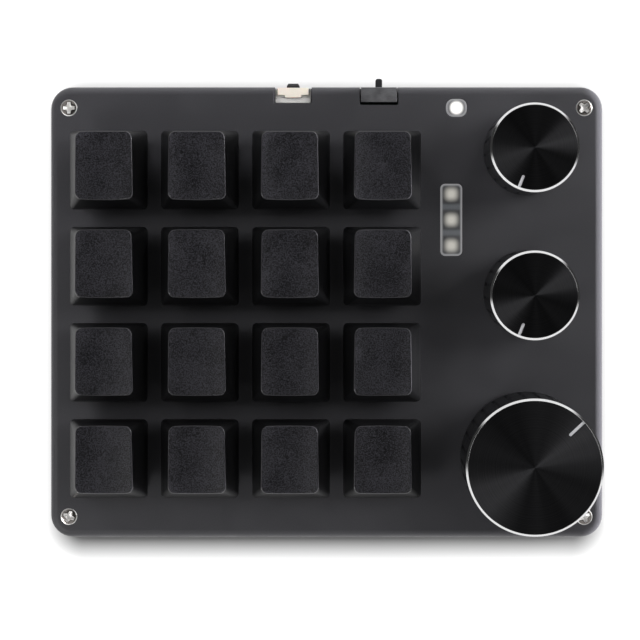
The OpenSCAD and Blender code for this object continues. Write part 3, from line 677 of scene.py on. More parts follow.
def fill_edges(shell, edges):
    """Fills the level area between closed loops of edges with triangles that use their points
    only. A triangle belongs to the area if a line from its middle to the right crosses the
    loops an odd number of times."""
    corners = list(dict.fromkeys(v for e in edges for v in e.verts))
    place = {v: n for n, v in enumerate(corners)}
    flat = [Vector((v.co.x / MM, v.co.y / MM)) for v in corners]
    pairs = [(place[e.verts[0]], place[e.verts[1]]) for e in edges]
    _, _, triangles, sources, _, _ = delaunay_2d_cdt(flat, pairs, [], 0, SAME)
    a = np.array([flat[i] for i, _ in pairs])
    b = np.array([flat[j] for _, j in pairs])
    for triangle in triangles:
        own = [sources[n][0] for n in triangle]
        x, y = sum((flat[n] for n in own), Vector((0, 0))) / 3
        crosses = (a[:, 1] > y) != (b[:, 1] > y)
        low, high = a[crosses], b[crosses]
        at = low[:, 0] + (y - low[:, 1]) * (high[:, 0] - low[:, 0]) / (high[:, 1] - low[:, 1])
        if np.count_nonzero(at > x) % 2:
            shell.faces.new([corners[n] for n in own])


def fill_flat(shell, loops):
    """Fills the flat area between closed loops of vertices."""
    pairs = [pair for loop in loops for pair in zip(loop, loop[1:] + loop[:1])]
    fill_edges(shell, [shell.edges.get(pair) or shell.edges.new(pair) for pair in pairs])


def sink(shell, outline, top, depth, taper=1.0, point=False):
    """A pocket under an outline of (x, y) in millimetres; returns its rim's vertices."""
    cx = sum(p[0] for p in outline) / len(outline)
    cy = sum(p[1] for p in outline) / len(outline)
    rim = [shell.verts.new((x * MM, y * MM, top * MM)) for x, y in outline]
    low = [shell.verts.new(((cx + (x - cx) * taper) * MM, (cy + (y - cy) * taper) * MM,
                            (top - depth) * MM)) for x, y in outline]
    pairs = [(n, (n + 1) % len(rim)) for n in range(len(rim))]
    for n, m in pairs:
        shell.faces.new((rim[n], rim[m], low[m], low[n]))
    if point:
        tip = shell.verts.new((cx * MM, cy * MM, (top - TIP_DEPTH * depth) * MM))
        for n, m in pairs:
            shell.faces.new((low[n], low[m], tip))
    else:
        shell.faces.new(low)
    return rim


print("two ways to fill, one way to sink")

# %% [markdown]
# ## The top case
# The real one is a shell about 2 mm thick with softly rounded upper edges. Its switch cut-outs,
# windows, notches and screw seats are milled, and a milled edge carries a small chamfer that
# catches the light. The shell is a loft whose rings follow the edge's quarter circle, and one
# boolean takes all the cutters away at once. The cutters widen at the plate's face, which
# leaves the chamfers.

# %% Loft the case
EDGE_R, EDGE_STEPS = 2.0, 12
CORNER_R = 5.2
WALL, PLATE_T = 2.0, 1.5
CHAMFER = 0.15
low, high = in_mm("top_case")
cx, cy = middle_of("top_case")
case_w, case_d = high.x - low.x, high.y - low.y
rings = [ring(rounded(case_w, case_d, CORNER_R), cx, cy, low.z)]
for s in range(EDGE_STEPS + 1):
    a = s / EDGE_STEPS * math.pi / 2
    inset = EDGE_R * (1 - math.cos(a))
    outline = rounded(case_w - 2 * inset, case_d - 2 * inset, CORNER_R - inset)
    rings.append(ring(outline, cx, cy, high.z - EDGE_R * (1 - math.sin(a))))
case_shell = merged("top_case_shell", [loft(rings)])
print("case", round(case_w, 2), "x", round(case_d, 2), "mm,", len(rings), "rings")


# %% Cutters for the hollow, the switches and the encoders
PAST = 1.0                       # how far every cutter goes past the metal


def cutter(x, y, outline, foot, top, flare=0.0):
    """A post that cuts from foot to past top, and widens by flare at top."""
    grow = [1 + 2 * flare / max(abs(px), abs(py), 1) for px, py in outline]
    grown = [(px * g, py * g) for (px, py), g in zip(outline, grow)]
    rows = [ring(outline, x, y, foot), ring(outline, x, y, top - flare)]
    if flare:
        rows.append(ring(grown, x, y, top + flare))
    rows.append(ring(grown, x, y, top + PAST))
    return loft(rows)


plate = plate_top / MM
plate_under = plate - PLATE_T
HOLE_W, ENCODER_HOLE = 14.0, 12.2
keys = {f"r{r}c{c}": middle_of(f"stem_r{r}c{c}") for r in ROWS for c in COLS}
plunger_at = {k: middle_of(f"plunger_{k}") for k in KNOBS}
hollow = rounded(case_w - 2 * WALL, case_d - 2 * WALL, CORNER_R - WALL)
cuts = [loft([ring(hollow, cx, cy, z) for z in (low.z - PAST, plate_under)])]
for places, width in ((keys, HOLE_W), (plunger_at, ENCODER_HOLE)):
    cuts += [cutter(x, y, square(width, width), plate_under - PAST, plate)
             for x, y in places.values()]
print(len(cuts), "cutters so far")

# %% Screw seats, windows, notches and the socket's slot
SCREW_HEAD, SCREW_SHANK, SEAT_DEPTH, SEAT_FLARE = 4.1, 2.1, 1.2, 0.2
HEAD_D = 4.0
WINDOW_R = {"status_window": 1.8, "layer_window": 1.2}
WINDOW_SIZE = {"status_window": (5.0, 4.3), "layer_window": (5.2, 17.0)}
NOTCHES = {"slide_can": (8.9, 4.3), "button_bracket": (8.7, 3.9)}
NOTCH_ROOM = 0.1                 # under what lies in a notch
SLOT_ROOM = 0.4                  # round the socket, both sides together
SLOT_STRAIGHT = 0.01             # straight stretch at each of the slot's ends, one side
screw_low, screw_high = in_mm("case_screws")
SCREW_X = (screw_high.x - screw_low.x - HEAD_D) / 2
SCREW_Y = (screw_high.y - screw_low.y - HEAD_D) / 2
SEAT = ((SCREW_SHANK, plate_under - PAST), (SCREW_SHANK, plate - SEAT_DEPTH),
        (SCREW_HEAD, plate), (SCREW_HEAD + SEAT_FLARE, plate + PAST))
for sx in (-1, 1):
    for sy in (-1, 1):
        x, y = sx * SCREW_X + cx, sy * SCREW_Y + cy
        cuts.append(loft([ring(circle(d), x, y, z) for d, z in SEAT]))
for node, (width, depth) in WINDOW_SIZE.items():
    outline = rounded(width, depth, WINDOW_R[node], side=0)
    cuts.append(cutter(*middle_of(node), outline, plate_under - PAST, plate, CHAMFER))
for node, (width, depth) in NOTCHES.items():
    x, foot = middle_of(node)[0], in_mm(node)[0].z - NOTCH_ROOM
    outline = square(width, depth + 2 * PAST)
    cuts.append(cutter(x, high.y - depth / 2 + PAST, outline, foot, plate, CHAMFER))
socket_low, socket_high = in_mm("usb_socket")
slot_w, slot_h = [v + SLOT_ROOM for v in (socket_high - socket_low).xz]
slot_x, slot_z = ((socket_low + socket_high) / 2).xz
slot_outline = rounded(slot_w, slot_h, slot_h / 2 - SLOT_STRAIGHT, side=0)
cuts.append(loft([[(slot_x + px, y, slot_z + pz) for px, pz in slot_outline]
                  for y in (high.y + PAST, high.y - WALL - PAST)]))
print(len(cuts), "cutters in all")

# %% Cut the case
top_case = add_object("top_case_shell", case_shell, case_coat)
knife = add_object("knife", merged("knife", cuts))
cut = top_case.modifiers.new("cut", "BOOLEAN")
cut.operation, cut.solver, cut.object = "DIFFERENCE", "EXACT", knife
cut.use_self = True              # the cutters overlap each other inside the case
applied(top_case)
bpy.data.objects.remove(knife)


def refill(shell, z):
    """Fills a level face again, hole by hole, so that no strip crosses a cut-out."""
    level = [f for f in shell.faces if all(abs(v.co.z - z * MM) < SAME for v in f.verts)]
    inside = set(level)
    rim = [e for f in level for e in f.edges if any(g not in inside for g in e.link_faces)]
    bmesh.ops.delete(shell, geom=level, context="FACES_ONLY")
    loose = [e for e in shell.edges if not e.link_faces]
    bmesh.ops.delete(shell, geom=loose, context="EDGES")
    fill_edges(shell, list(dict.fromkeys(rim)))
    return len(level)


shell = opened(top_case.data)
bmesh.ops.remove_doubles(shell, verts=shell.verts, dist=WELD * MM)
print("level faces filled again:", refill(shell, plate), refill(shell, plate_under))
print("open edges left:", sum(1 for e in shell.edges if len(e.link_faces) != 2))
closed(shell, top_case.data)
smooth(top_case.data)
evened(top_case)
dressed(top_case, "case", "case_black", "top_case")

# %% [markdown]
# ## The keycaps
# A keycap is a four-sided cone with rounded corners, whose top is scooped by a cylinder that
# lies front to back, so that its left and right edges stand up and its front edge bows. The
# scoop leans a little towards the typist. Its shape follows from a rule, so each ring of the
# loft is worked out: along every slope the point is found where the slope meets the scoop, and
# the edge between them is softened with a small curve. The same mesh serves all sixteen.

# %% Work out where the slopes meet the scoop
cap_low, cap_high = in_mm("keycap_r1c1")
CAP_W, CAP_D = cap_high.x - cap_low.x, cap_high.y - cap_low.y
CAP_FOOT = cap_low.z
CAP_TOP_W, CAP_TOP_D = 12.8, 15.1
CAP_BACK, CAP_H = 0.84, 7.7      # how far back the top lies, and its height
CAP_WALL, CAP_ROOF = 1.3, 1.4
CAP_SKIRT_R, CAP_TOP_R = 1.0, 1.6
DISH_R, DISH_TILT = 28.0, math.tan(math.radians(3))
DISH_DEPTH = DISH_R - math.sqrt(DISH_R ** 2 - CAP_TOP_W ** 2 / 4)
MEETING_ROUNDS = 12


def dish(x, y):
    """Height of the scooped top over the keycap's middle."""
    lowest = CAP_FOOT + CAP_H - DISH_DEPTH + (y - CAP_BACK) * DISH_TILT
    return lowest + DISH_R - math.sqrt(max(0.0, DISH_R ** 2 - x * x))


foot_line = rounded(CAP_W, CAP_D, CAP_SKIRT_R)
top_line = [(x, y + CAP_BACK) for x, y in rounded(CAP_TOP_W, CAP_TOP_D, CAP_TOP_R)]


def on_slope(n, t):
    """The point a share t up the slope at the outline's n-th point."""
    (fx, fy), (tx, ty) = foot_line[n], top_line[n]
    return (fx + (tx - fx) * t, fy + (ty - fy) * t, CAP_FOOT + CAP_H * t)


edge_share = []
for n in range(len(foot_line)):
    t = 1.0
    for _ in range(MEETING_ROUNDS):
        x, y, z = on_slope(n, t)
        t = (dish(x, y) - CAP_FOOT) / CAP_H
    edge_share.append(t)
heights = [round(t * CAP_H, 2) for t in (min(edge_share), max(edge_share))]
print("the scoop meets the slopes", *heights, "mm up")

# %% Build the keycap's rings
RIM_SOFT, RIM_STEPS, ROOM_R = 0.28, 6, 1.0
SCOOP_SHARES = (0.12, 0.25, 0.4, 0.55, 0.7, 0.82, 0.92)      # from the middle to the rim
SLOPE_SHARES = (0.75, 0.5, 0.25, 0.03)
FOOT_STEPS = ((0.06, 0.06), (0.2, 0.0), (CAP_WALL - 0.1, 0.0), (CAP_WALL, 0.1))  # inset, height
edge = [on_slope(n, t) for n, t in enumerate(edge_share)]


def drawn_in(point, by):
    """A point of the scoop's edge moved towards the middle by a length, and set on the scoop."""
    x, y = point[0], point[1] - CAP_BACK
    far = math.hypot(x, y)
    x, y = x * (far - by) / far, y * (far - by) / far + CAP_BACK
    return (x, y, dish(x, y))


def eased(t, a, e, b):
    """The point a share t along a curve from a to b that bends towards e."""
    return tuple((1 - t) ** 2 * p + 2 * t * (1 - t) * q + t * t * r for p, q, r in zip(a, e, b))


inner_rim = [drawn_in(p, RIM_SOFT) for p in edge]
outer_rim = [on_slope(n, t - RIM_SOFT / CAP_H) for n, t in enumerate(edge_share)]
cap_rings = [[(0, CAP_BACK, dish(0, CAP_BACK))]]
for s in SCOOP_SHARES:
    row = [(p[0] * s, CAP_BACK + (p[1] - CAP_BACK) * s) for p in inner_rim]
    cap_rings.append([(x, y, dish(x, y)) for x, y in row])
for s in range(RIM_STEPS + 1):
    cap_rings.append([eased(s / RIM_STEPS, *ends) for ends in zip(inner_rim, edge, outer_rim)])
for s in SLOPE_SHARES:
    cap_rings.append([on_slope(n, t * s) for n, t in enumerate(edge_share)])
for inset, up in FOOT_STEPS:
    outline = rounded(CAP_W - 2 * inset, CAP_D - 2 * inset, CAP_SKIRT_R - inset / 4)
    cap_rings.append(ring(outline, 0, 0, CAP_FOOT + up))
ceiling = CAP_H - DISH_DEPTH - CAP_ROOF
share = ceiling / CAP_H
room = [foot + (top - foot) * share - 2 * CAP_WALL
        for foot, top in ((CAP_W, CAP_TOP_W), (CAP_D, CAP_TOP_D))]
cap_rings.append(ring(rounded(*room, ROOM_R), 0, CAP_BACK * share, CAP_FOOT + ceiling))
cap_rings.append([(0, CAP_BACK * share, CAP_FOOT + ceiling)])
print(len(cap_rings), "rings of", len(foot_line), "points")

# %% Add the socket for the stem's cross and set sixteen keycaps in place
SOCKET_D, SOCKET_STEPS = 5.5, 32
SOCKET_UP, SOCKET_SINK = 6.65, 0.2       # from the plate to its mouth, and into the ceiling
CROSS_W, CROSS_T, CROSS_H = 4.1, 1.25, 3.8
CAP_SHARP = 38                   # degrees
SCOOP_ZONE = 1.6                 # how far under the top the scoop and its rim reach
SCOOP_RISE, SLOPE_RISE = 0.93, 0.45      # upward shares that tell scoop, rim and slopes apart
socket_foot = plate + SOCKET_UP
roof_z = CAP_FOOT + ceiling + SOCKET_SINK
cap_mesh = merged("keycap", [loft(cap_rings)])
shell = opened(cap_mesh)
post = circle(SOCKET_D, SOCKET_STEPS)
mouth, roof = [[shell.verts.new((x * MM, y * MM, z * MM)) for x, y in post]
               for z in (socket_foot, roof_z)]
for n in range(SOCKET_STEPS):
    m = (n + 1) % SOCKET_STEPS
    shell.faces.new((mouth[n], mouth[m], roof[m], roof[n]))
shell.faces.new(roof)
fill_flat(shell, [mouth, sink(shell, cross_of(CROSS_W, CROSS_T), socket_foot, -CROSS_H)])
closed(shell, cap_mesh)
smooth(cap_mesh, CAP_SHARP)
# faces go by how far they face upwards: the scoop has the grain, its rim is a smoother copy
# painted lighter as a highlight, and the slopes and all below them a darker copy, painted shade
for face in cap_mesh.polygons:
    rise = face.normal.z if face.center.z > (CAP_FOOT + CAP_H - SCOOP_ZONE) * MM else 0
    face.material_index = 0 if rise > SCOOP_RISE else 2 if rise > SLOPE_RISE else 1
for key, (x, y) in keys.items():
    cap = add_object(f"cap_{key}", moved_copy(cap_mesh, x, y), cap_grain, cap_side, cap_rim)
    dressed(cap, f"key_{key}", "keycap_black", f"keycap_{key}")

# %% [markdown]
# ## Geometry Nodes, run from a script
# A Geometry Nodes tree makes a shape from named inputs, and is the right tool for what repeats.
# recipe() builds a tree's interface, finish_recipe() ends it with real, painted faces, and
# run() puts the tree on an object, sets each input by its socket's identifier, and turns the
# outcome into a plain mesh.

# %% A recipe is a tree with named inputs
SOCKETS = {float: "NodeSocketFloat", int: "NodeSocketInt", tuple: "NodeSocketVector",
           bpy.types.Material: "NodeSocketMaterial", bpy.types.Object: "NodeSocketObject"}


def recipe(name, **inputs):
    """A new tree with an input for each name; returns the tree and its inputs."""
    tree = bpy.data.node_groups.new(name, "GeometryNodeTree")
    tree.interface.new_socket("Geometry", in_out="OUTPUT", socket_type="NodeSocketGeometry")
    for label, kind in inputs.items():
        tree.interface.new_socket(label, in_out="INPUT", socket_type=SOCKETS[kind])
    given = tree.nodes.new("NodeGroupInput")
    return tree, {label: Amount(tree, given.outputs[label]) for label in inputs}


def position(tree):
    return put(tree, "GeometryNodeInputPosition").outputs[0]


def finish_recipe(tree, geometry, material, chosen=None, other=None):
    """Makes instances real, paints them, paints the chosen faces otherwise, and ends."""
    shape = put(tree, "GeometryNodeRealizeInstances", {0: geometry}).outputs[0]
    paints = [{"Material": material}]
    if chosen is not None:
        paints.append({"Selection": chosen, "Material": other})
    for paint in paints:
        shape = put(tree, "GeometryNodeSetMaterial", {"Geometry": shape, **paint}).outputs[0]
    put(tree, "NodeGroupOutput", {0: shape})


def run(tree, name, **values):
    """A plain mesh object made by the tree with these values."""
    made = add_object(name, bpy.data.meshes.new(name))
    modifier = made.modifiers.new("recipe", "NODES")
    modifier.node_group = tree
    for item in tree.interface.items_tree:
        if item.in_out == "INPUT":
            modifier[item.identifier] = values[item.name]
    applied(made)
    mesh = made.data
    indices = [polygon.material_index for polygon in mesh.polygons]
    used = sorted(set(indices))
    kept = [mesh.materials[n] for n in used]
    mesh.materials.clear()           # this also sets every face's index to 0
    for material in kept:
        mesh.materials.append(material)
    mesh.polygons.foreach_set("material_index", [used.index(n) for n in indices])
    return made


print("a tree's input may be one of", len(SOCKETS), "kinds")

# %% [markdown]
# ## The case screws
# Four small countersunk screws, bright nickel, with a cross recess. One is modelled from a
# filled disc with a sunk cross. A tree sets it on the corners of a two by two grid, each a
# little further round than the last, as screws stop where they are tight, and gives the
# bevelled rim and the cross the duller finish that a cut edge has.

# %% Model one screw
HEAD_H, SHANK_D, SCREW_LEN, SCREW_STEPS = 1.2, 1.9, 9.0, 48
RECESS_W, RECESS_T, RECESS_H, RECESS_TAPER = 2.7, 0.7, 0.5, 0.55
INNER_OUT = 1.5                  # the recess's inner corners lie this times as far out
# diameter and height of each turned ring, from the tip up to the face
TURNED = ((SHANK_D - 0.6, -SCREW_LEN), (SHANK_D, -SCREW_LEN + 0.3), (SHANK_D, -HEAD_H),
          (HEAD_D - 0.1, -0.2), (HEAD_D, -0.14), (HEAD_D - 0.5, 0))
cross = turned(cross_of(RECESS_W, RECESS_T, INNER_OUT), math.radians(45))
points, faces = loft([[(0, 0, -SCREW_LEN)]]
                     + [ring(circle(d, SCREW_STEPS), 0, 0, z) for d, z in TURNED])
screw_mesh = merged("screw", [(points, faces[:-1])])     # without its lid
shell = opened(screw_mesh)
rim = [v for v in shell.verts if v.is_boundary]
fill_flat(shell, [rim, sink(shell, cross, 0, RECESS_H, RECESS_TAPER, point=True)])
closed(shell, screw_mesh)
smooth(screw_mesh)
screw = add_object("screw_pattern", screw_mesh)
print("one screw,", len(screw_mesh.polygons), "faces")

# %% Set four screws
FACE_ONLY = 0.02                 # faces whose middle lies lower than this are cut ones
SCREW_TURN = 22.5                # degrees from each screw's cross to the next one's
tree, given = recipe("four_screws", Pattern=bpy.types.Object, Across=float, Along=float,
                     Middle=tuple, Level=float, Turn=float,
                     Finish=bpy.types.Material, Recess=bpy.types.Material)
grid = put(tree, "GeometryNodeMeshGrid", {"Size X": given["Across"], "Size Y": given["Along"],
                                         "Vertices X": 2, "Vertices Y": 2}).outputs["Mesh"]
moved = put(tree, "GeometryNodeTransform", {"Geometry": grid, "Translation": given["Middle"]})
one = put(tree, "GeometryNodeObjectInfo", {"Object": given["Pattern"]})
order = Amount(tree, put(tree, "GeometryNodeInputIndex").outputs[0]) + 1.0
turn = put(tree, "ShaderNodeCombineXYZ", {"Z": order * given["Turn"]})
four = put(tree, "GeometryNodeInstanceOnPoints",
           {"Points": moved.outputs[0], "Instance": one.outputs["Geometry"],
            "Rotation": turn.outputs[0]})
cut_faces = xyz(tree, position(tree))[2] < given["Level"]
finish_recipe(tree, four.outputs[0], given["Finish"], cut_faces, given["Recess"])
screws = run(tree, "case_screw_set", Pattern=screw, Across=2 * SCREW_X * MM,
             Along=2 * SCREW_Y * MM, Middle=(cx * MM, cy * MM, plate_top),
             Level=plate_top - FACE_ONLY * MM, Turn=math.radians(SCREW_TURN), Finish=nickel,
             Recess=recess_metal)
bpy.data.objects.remove(screw)
dressed(screws, "case", "screw_nickel", "case_screws")

# %% [markdown]
# ## The return springs
# The frame carries each key's spring as a plain sleeve. Here it is the coil that such a switch
# has: a tree sweeps a small circle along a spiral. The coil's foot stands still.

# %% Wind one coil and set sixteen
COIL_D, WIRE_D, COIL_TURNS = 4.8, 0.4, 6.0
COIL_STEPS, WIRE_STEPS = 24, 8   # of a turn, and round the wire
WIRE_SHARP = 60                  # degrees
spring_low, spring_high = in_mm("switch_springs")
spring_h = spring_high.z - spring_low.z
tree, given = recipe("wound_spring", Radius=float, Height=float, Turns=float, Wire=float,
                     Finish=bpy.types.Material)
spiral = put(tree, "GeometryNodeCurveSpiral",
             {"Resolution": COIL_STEPS, "Rotations": given["Turns"], "Height": given["Height"],
              "Start Radius": given["Radius"], "End Radius": given["Radius"]})
wire = put(tree, "GeometryNodeCurvePrimitiveCircle",
           {"Resolution": WIRE_STEPS, "Radius": given["Wire"]})
swept = put(tree, "GeometryNodeCurveToMesh", {"Curve": spiral.outputs[0], "Fill Caps": True,
                                             "Profile Curve": wire.outputs[0]})
finish_recipe(tree, swept.outputs[0], given["Finish"])
coil = run(tree, "coil_pattern", Radius=(COIL_D - WIRE_D) / 2 * MM,
           Height=(spring_h - WIRE_D) * MM, Turns=COIL_TURNS, Wire=WIRE_D / 2 * MM,
           Finish=spring_wire)
smooth(coil.data, WIRE_SHARP)
for key, (x, y) in keys.items():
    spring = add_object(f"spring_{key}", moved_copy(coil.data, x, y, spring_low.z + WIRE_D / 2))
    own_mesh(spring)
    dressed(spring, "case", "spring_brass", "switch_springs")
bpy.data.objects.remove(coil)

# %% [markdown]
# ## The knobs
# Each knob is turned aluminium: grooves run down its side between wide lands, a diamond-cut
# bevel shines round its top, and a pointer is milled into the spun face. The side follows a
# rule, so a tree bends a flat grid into it: across the grid the angle runs round the axis,
# crowding together where a groove is, and up the grid the points follow a turned profile.

# %% Start the tree: the angle of each column of a flat grid
PER_GROOVE = 12
NUDGE = 1e-4                     # keeps each column on its own side of a pitch's start
SEAM = 0.002                     # columns nearer than this become one, in mm
tree, given = recipe("grooved_knob", Profile=bpy.types.Object, Rows=int, Grooves=int,
                     Share=float, GrooveRadius=float, GrooveDepth=float, GrooveFoot=float,
                     GrooveTop=float, Turn=float, Middle=tuple, GrooveInside=float,
                     RingFoot=float, Side=bpy.types.Material, Ring=bpy.types.Material)
columns = given["Grooves"] * PER_GROOVE + 1.0
grid = put(tree, "GeometryNodeMeshGrid", {"Size X": 1.0, "Size Y": 1.0, "Vertices X": columns,
                                         "Vertices Y": given["Rows"]}).outputs["Mesh"]
u, v, _ = xyz(tree, position(tree))
# the grid is 1 wide and 1 deep about its middle; half of each pitch's points lie inside its
# groove
along = (u + 0.5) * given["Grooves"] + NUDGE
cell = along.calc("FLOOR")
part = along - cell
phase = (spread(part, 0.0, 0.5, 0.0, given["Share"])
         + spread(part, 0.5, 1.0, 0.0, 1.0 - given["Share"]))
angle = (cell + phase) / given["Grooves"] * (2 * math.pi) + given["Turn"]
print("the grid has", PER_GROOVE, "columns to a groove")

# %% The profile's radius and height, less the groove
row = ((v + 0.5) * (given["Rows"] - 1.0)).calc("ROUND")
line = put(tree, "GeometryNodeObjectInfo", {"Object": given["Profile"]}).outputs["Geometry"]
sample = put(tree, "GeometryNodeSampleIndex",
             {"Geometry": line, "Value": position(tree), "Index": row},
             data_type="FLOAT_VECTOR", domain="POINT")
radius, _, height = xyz(tree, sample.outputs[0])
# a groove is a circle's arc, only between its foot and its top
squared = given["GrooveRadius"] ** 2.0
core = given["GrooveRadius"] - given["GrooveDepth"]
half_width = (squared - core ** 2.0).calc("SQRT")
off = (phase / given["Share"] - 0.5) * 2.0 * half_width
arc = (squared - off ** 2.0).calc("MAXIMUM", 0.0).calc("SQRT")
deep = (arc - core).calc("MAXIMUM", 0.0) * (height > given["GrooveFoot"])
deep = deep * (height < given["GrooveTop"]) * (radius > given["GrooveInside"])
radius = radius - deep
print("knob tree with", len(tree.nodes), "nodes so far")

# %% End the tree: bend the grid and paint it
bent = put(tree, "ShaderNodeCombineXYZ", {0: radius * angle.calc("COSINE"),
                                         1: radius * angle.calc("SINE"), 2: height}).outputs[0]
skin = put(tree, "GeometryNodeSetPosition",
           {"Geometry": grid, "Position": vector(tree, "ADD", bent, given["Middle"])})
skin = put(tree, "GeometryNodeMergeByDistance",
           {"Geometry": skin.outputs[0], "Distance": SEAM * MM})
finish_recipe(tree, skin.outputs[0], given["Side"],
              xyz(tree, position(tree))[2] > given["RingFoot"], given["Ring"])
print("knob tree with", len(tree.nodes), "nodes")

# %% A profile for each knob, from the hollow under it to the ring's inner edge
WELL_R, WELL_H, WELL_SOFT, MOUTH_SOFT = 8.64, 6.6, 0.3, 0.15
GROOVE_FROM = 0.5                  # no groove comes nearer to the well than this
RING_W, RING_H = 0.45, 0.33        # a little finer than the frame's bevel
TOP_SINK = 0.03                    # of the spun face in its ring
GROOVE_R, GROOVE_DEPTH, GROOVE_PITCH = 0.5, 0.35, 3.2
GROOVE_FOOT, GROOVE_TOP = 1.2, 2.0
# how far in from the radius, and how far up from the foot or down from the top
FROM_FOOT = ((0.3, 0.0), (0.09, 0.09), (0.0, 0.3), (0.0, GROOVE_FOOT - 0.02),
             (0.0, GROOVE_FOOT + 0.6), (0.0, 4.0), (0.0, 7.0), (0.0, 11.0))
FROM_TOP = ((0.0, GROOVE_TOP + 0.02), (0.0, GROOVE_TOP - 0.02), (0.0, RING_H + 0.35),
            (0.03, RING_H + 0.3), (0.03, RING_H + 0.12), (0.0, RING_H + 0.07), (0.0, RING_H),
            (RING_W, 0.004), (RING_W + 0.03, TOP_SINK))
knob_low, knob_high = in_mm("knob_upper")
KNOB_FOOT, KNOB_TOP = knob_low.z, knob_high.z


def profile_of(radius):
    """Radius and height of each turned point, upwards along the outside."""
    roof = KNOB_FOOT + WELL_H
    return [(0.0, roof), (WELL_R - WELL_SOFT, roof), (WELL_R, roof - WELL_SOFT),
            (WELL_R, KNOB_FOOT + MOUTH_SOFT), (WELL_R + MOUTH_SOFT, KNOB_FOOT),
            *[(radius - inset, KNOB_FOOT + up) for inset, up in FROM_FOOT],
            *[(radius - inset, KNOB_TOP - down) for inset, down in FROM_TOP]]


def knob_line(name, radius):
    mesh = bpy.data.meshes.new(name)
    mesh.from_pydata([(r * MM, 0, z * MM) for r, z in profile_of(radius)], [], [])
    return add_object(name, mesh)


print(len(profile_of(WELL_R)), "turned points on a knob")

# %% Close a knob's top round its pointer
POINTER_W, POINTER_H, POINTER_STEPS = 0.65, 0.35, 8
POINTER_GAP = 0.04                 # from the pointer's slot to the ring
TOP_INDEX, POINTER_INDEX = 2, 3    # places of the two finishes in a knob's list


def stadium_at(angle, inner, outer, width):
    """The outline of a bar with a round inner end, along a radius at that angle."""
    r = width / 2
    ends = [math.pi * s / POINTER_STEPS for s in range(POINTER_STEPS + 1)]
    bar = [(outer, -r), (outer, r)]
    bar += [(inner + r - r * math.sin(a), r * math.cos(a)) for a in ends]
    return turned(bar, angle)


def close_top(made, x, y, radius, angle, length):
    """Fills the spun face, which has the pointer's slot in it, and paints face and slot."""
    shell = opened(made.data)
    from_axis = {v: (v.co.x - x * MM, v.co.y - y * MM) for v in shell.verts if v.is_boundary}
    inside = (radius - RING_W) * MM
    loop = [v for v, (dx, dy) in from_axis.items() if math.hypot(dx, dy) > 0.5 * inside]
    loop.sort(key=lambda v: math.atan2(*from_axis[v][::-1]))
    outline = stadium_at(angle, radius - length, radius - RING_W - POINTER_GAP, POINTER_W)
    before = set(shell.faces)
    slot = sink(shell, [(x + px, y + py) for px, py in outline], KNOB_TOP - TOP_SINK, POINTER_H)
    walls = set(shell.faces) - before
    fill_flat(shell, [loop, slot])
    for face in shell.faces:
        if face in walls:
            face.material_index = POINTER_INDEX
        elif face not in before:
            face.material_index = TOP_INDEX
    closed(shell, made.data)


print("a pointer has", len(stadium_at(0, 5, 9, POINTER_W)), "corners")

# %% Make the three knobs
POINTER = {"upper": (248, 3.3), "middle": (248, 3.3), "large": (43, 4.9)}    # degrees, length
# grey of each spun top and its anisotropy; blue is a little stronger
TOP_SHADE = {"upper": (0.025, 0.92), "middle": (0.024, 0.92), "large": (0.035, 0.82)}
BLUER = 1.06
groove_half = math.sqrt(GROOVE_R ** 2 - (GROOVE_R - GROOVE_DEPTH) ** 2)
for k in KNOBS:
    low, high = in_mm(f"knob_{k}")
    x, y = plunger_at[k]
    radius = (high.x - low.x) / 2
    grooves = round(2 * math.pi * radius / GROOVE_PITCH)
    share = groove_half / (math.pi * radius / grooves)
    degrees, length = POINTER[k]
    line = knob_line(f"profile_{k}", radius)
    # a groove's middle lies half a pitch from the pointer, as it does in the frame
    start = math.radians(degrees) + (0.5 - share / 2) * 2 * math.pi / grooves
    shade, anisotropy = TOP_SHADE[k]
    top_finish = spun(f"spun_top_{k}", (shade, shade, BLUER * shade), (x, y), anisotropy)
    knob = run(tree, f"knob_{k}_turned", Profile=line, Rows=len(line.data.vertices),
               Grooves=grooves, Share=share, GrooveRadius=GROOVE_R * MM,
               GrooveDepth=GROOVE_DEPTH * MM, GrooveFoot=(KNOB_FOOT + GROOVE_FOOT) * MM,
               GrooveTop=(KNOB_TOP - GROOVE_TOP) * MM, Turn=start, Middle=(x * MM, y * MM, 0),
               GrooveInside=(WELL_R + GROOVE_FROM) * MM, RingFoot=(KNOB_TOP - RING_H) * MM,
               Side=knob_side, Ring=cut_ring)
    bpy.data.objects.remove(line)
    for finish in (top_finish, pointer_paint):
        knob.data.materials.append(finish)
    close_top(knob, x, y, radius, math.radians(degrees), length)
    smooth(knob.data)
    evened(knob)
    dressed(knob, f"turn_{k}", "knob_black", f"knob_{k}")

# %% [markdown]
# ## Small parts, softened
# The small parts of the frame have the right shapes, but their edges are perfectly sharp, and
# no real edge is. For each of them a copy is taken, its loose triangles are merged into whole
# faces again, and a fine bevel goes round every real edge. The frame's own node stays as it is
# and is only hidden behind the copy.

# %% Soften a copy of a node
BEVEL_STEPS, BEVEL_FROM, SOFT_SHARP = 2, 30, 40      # the last two in degrees


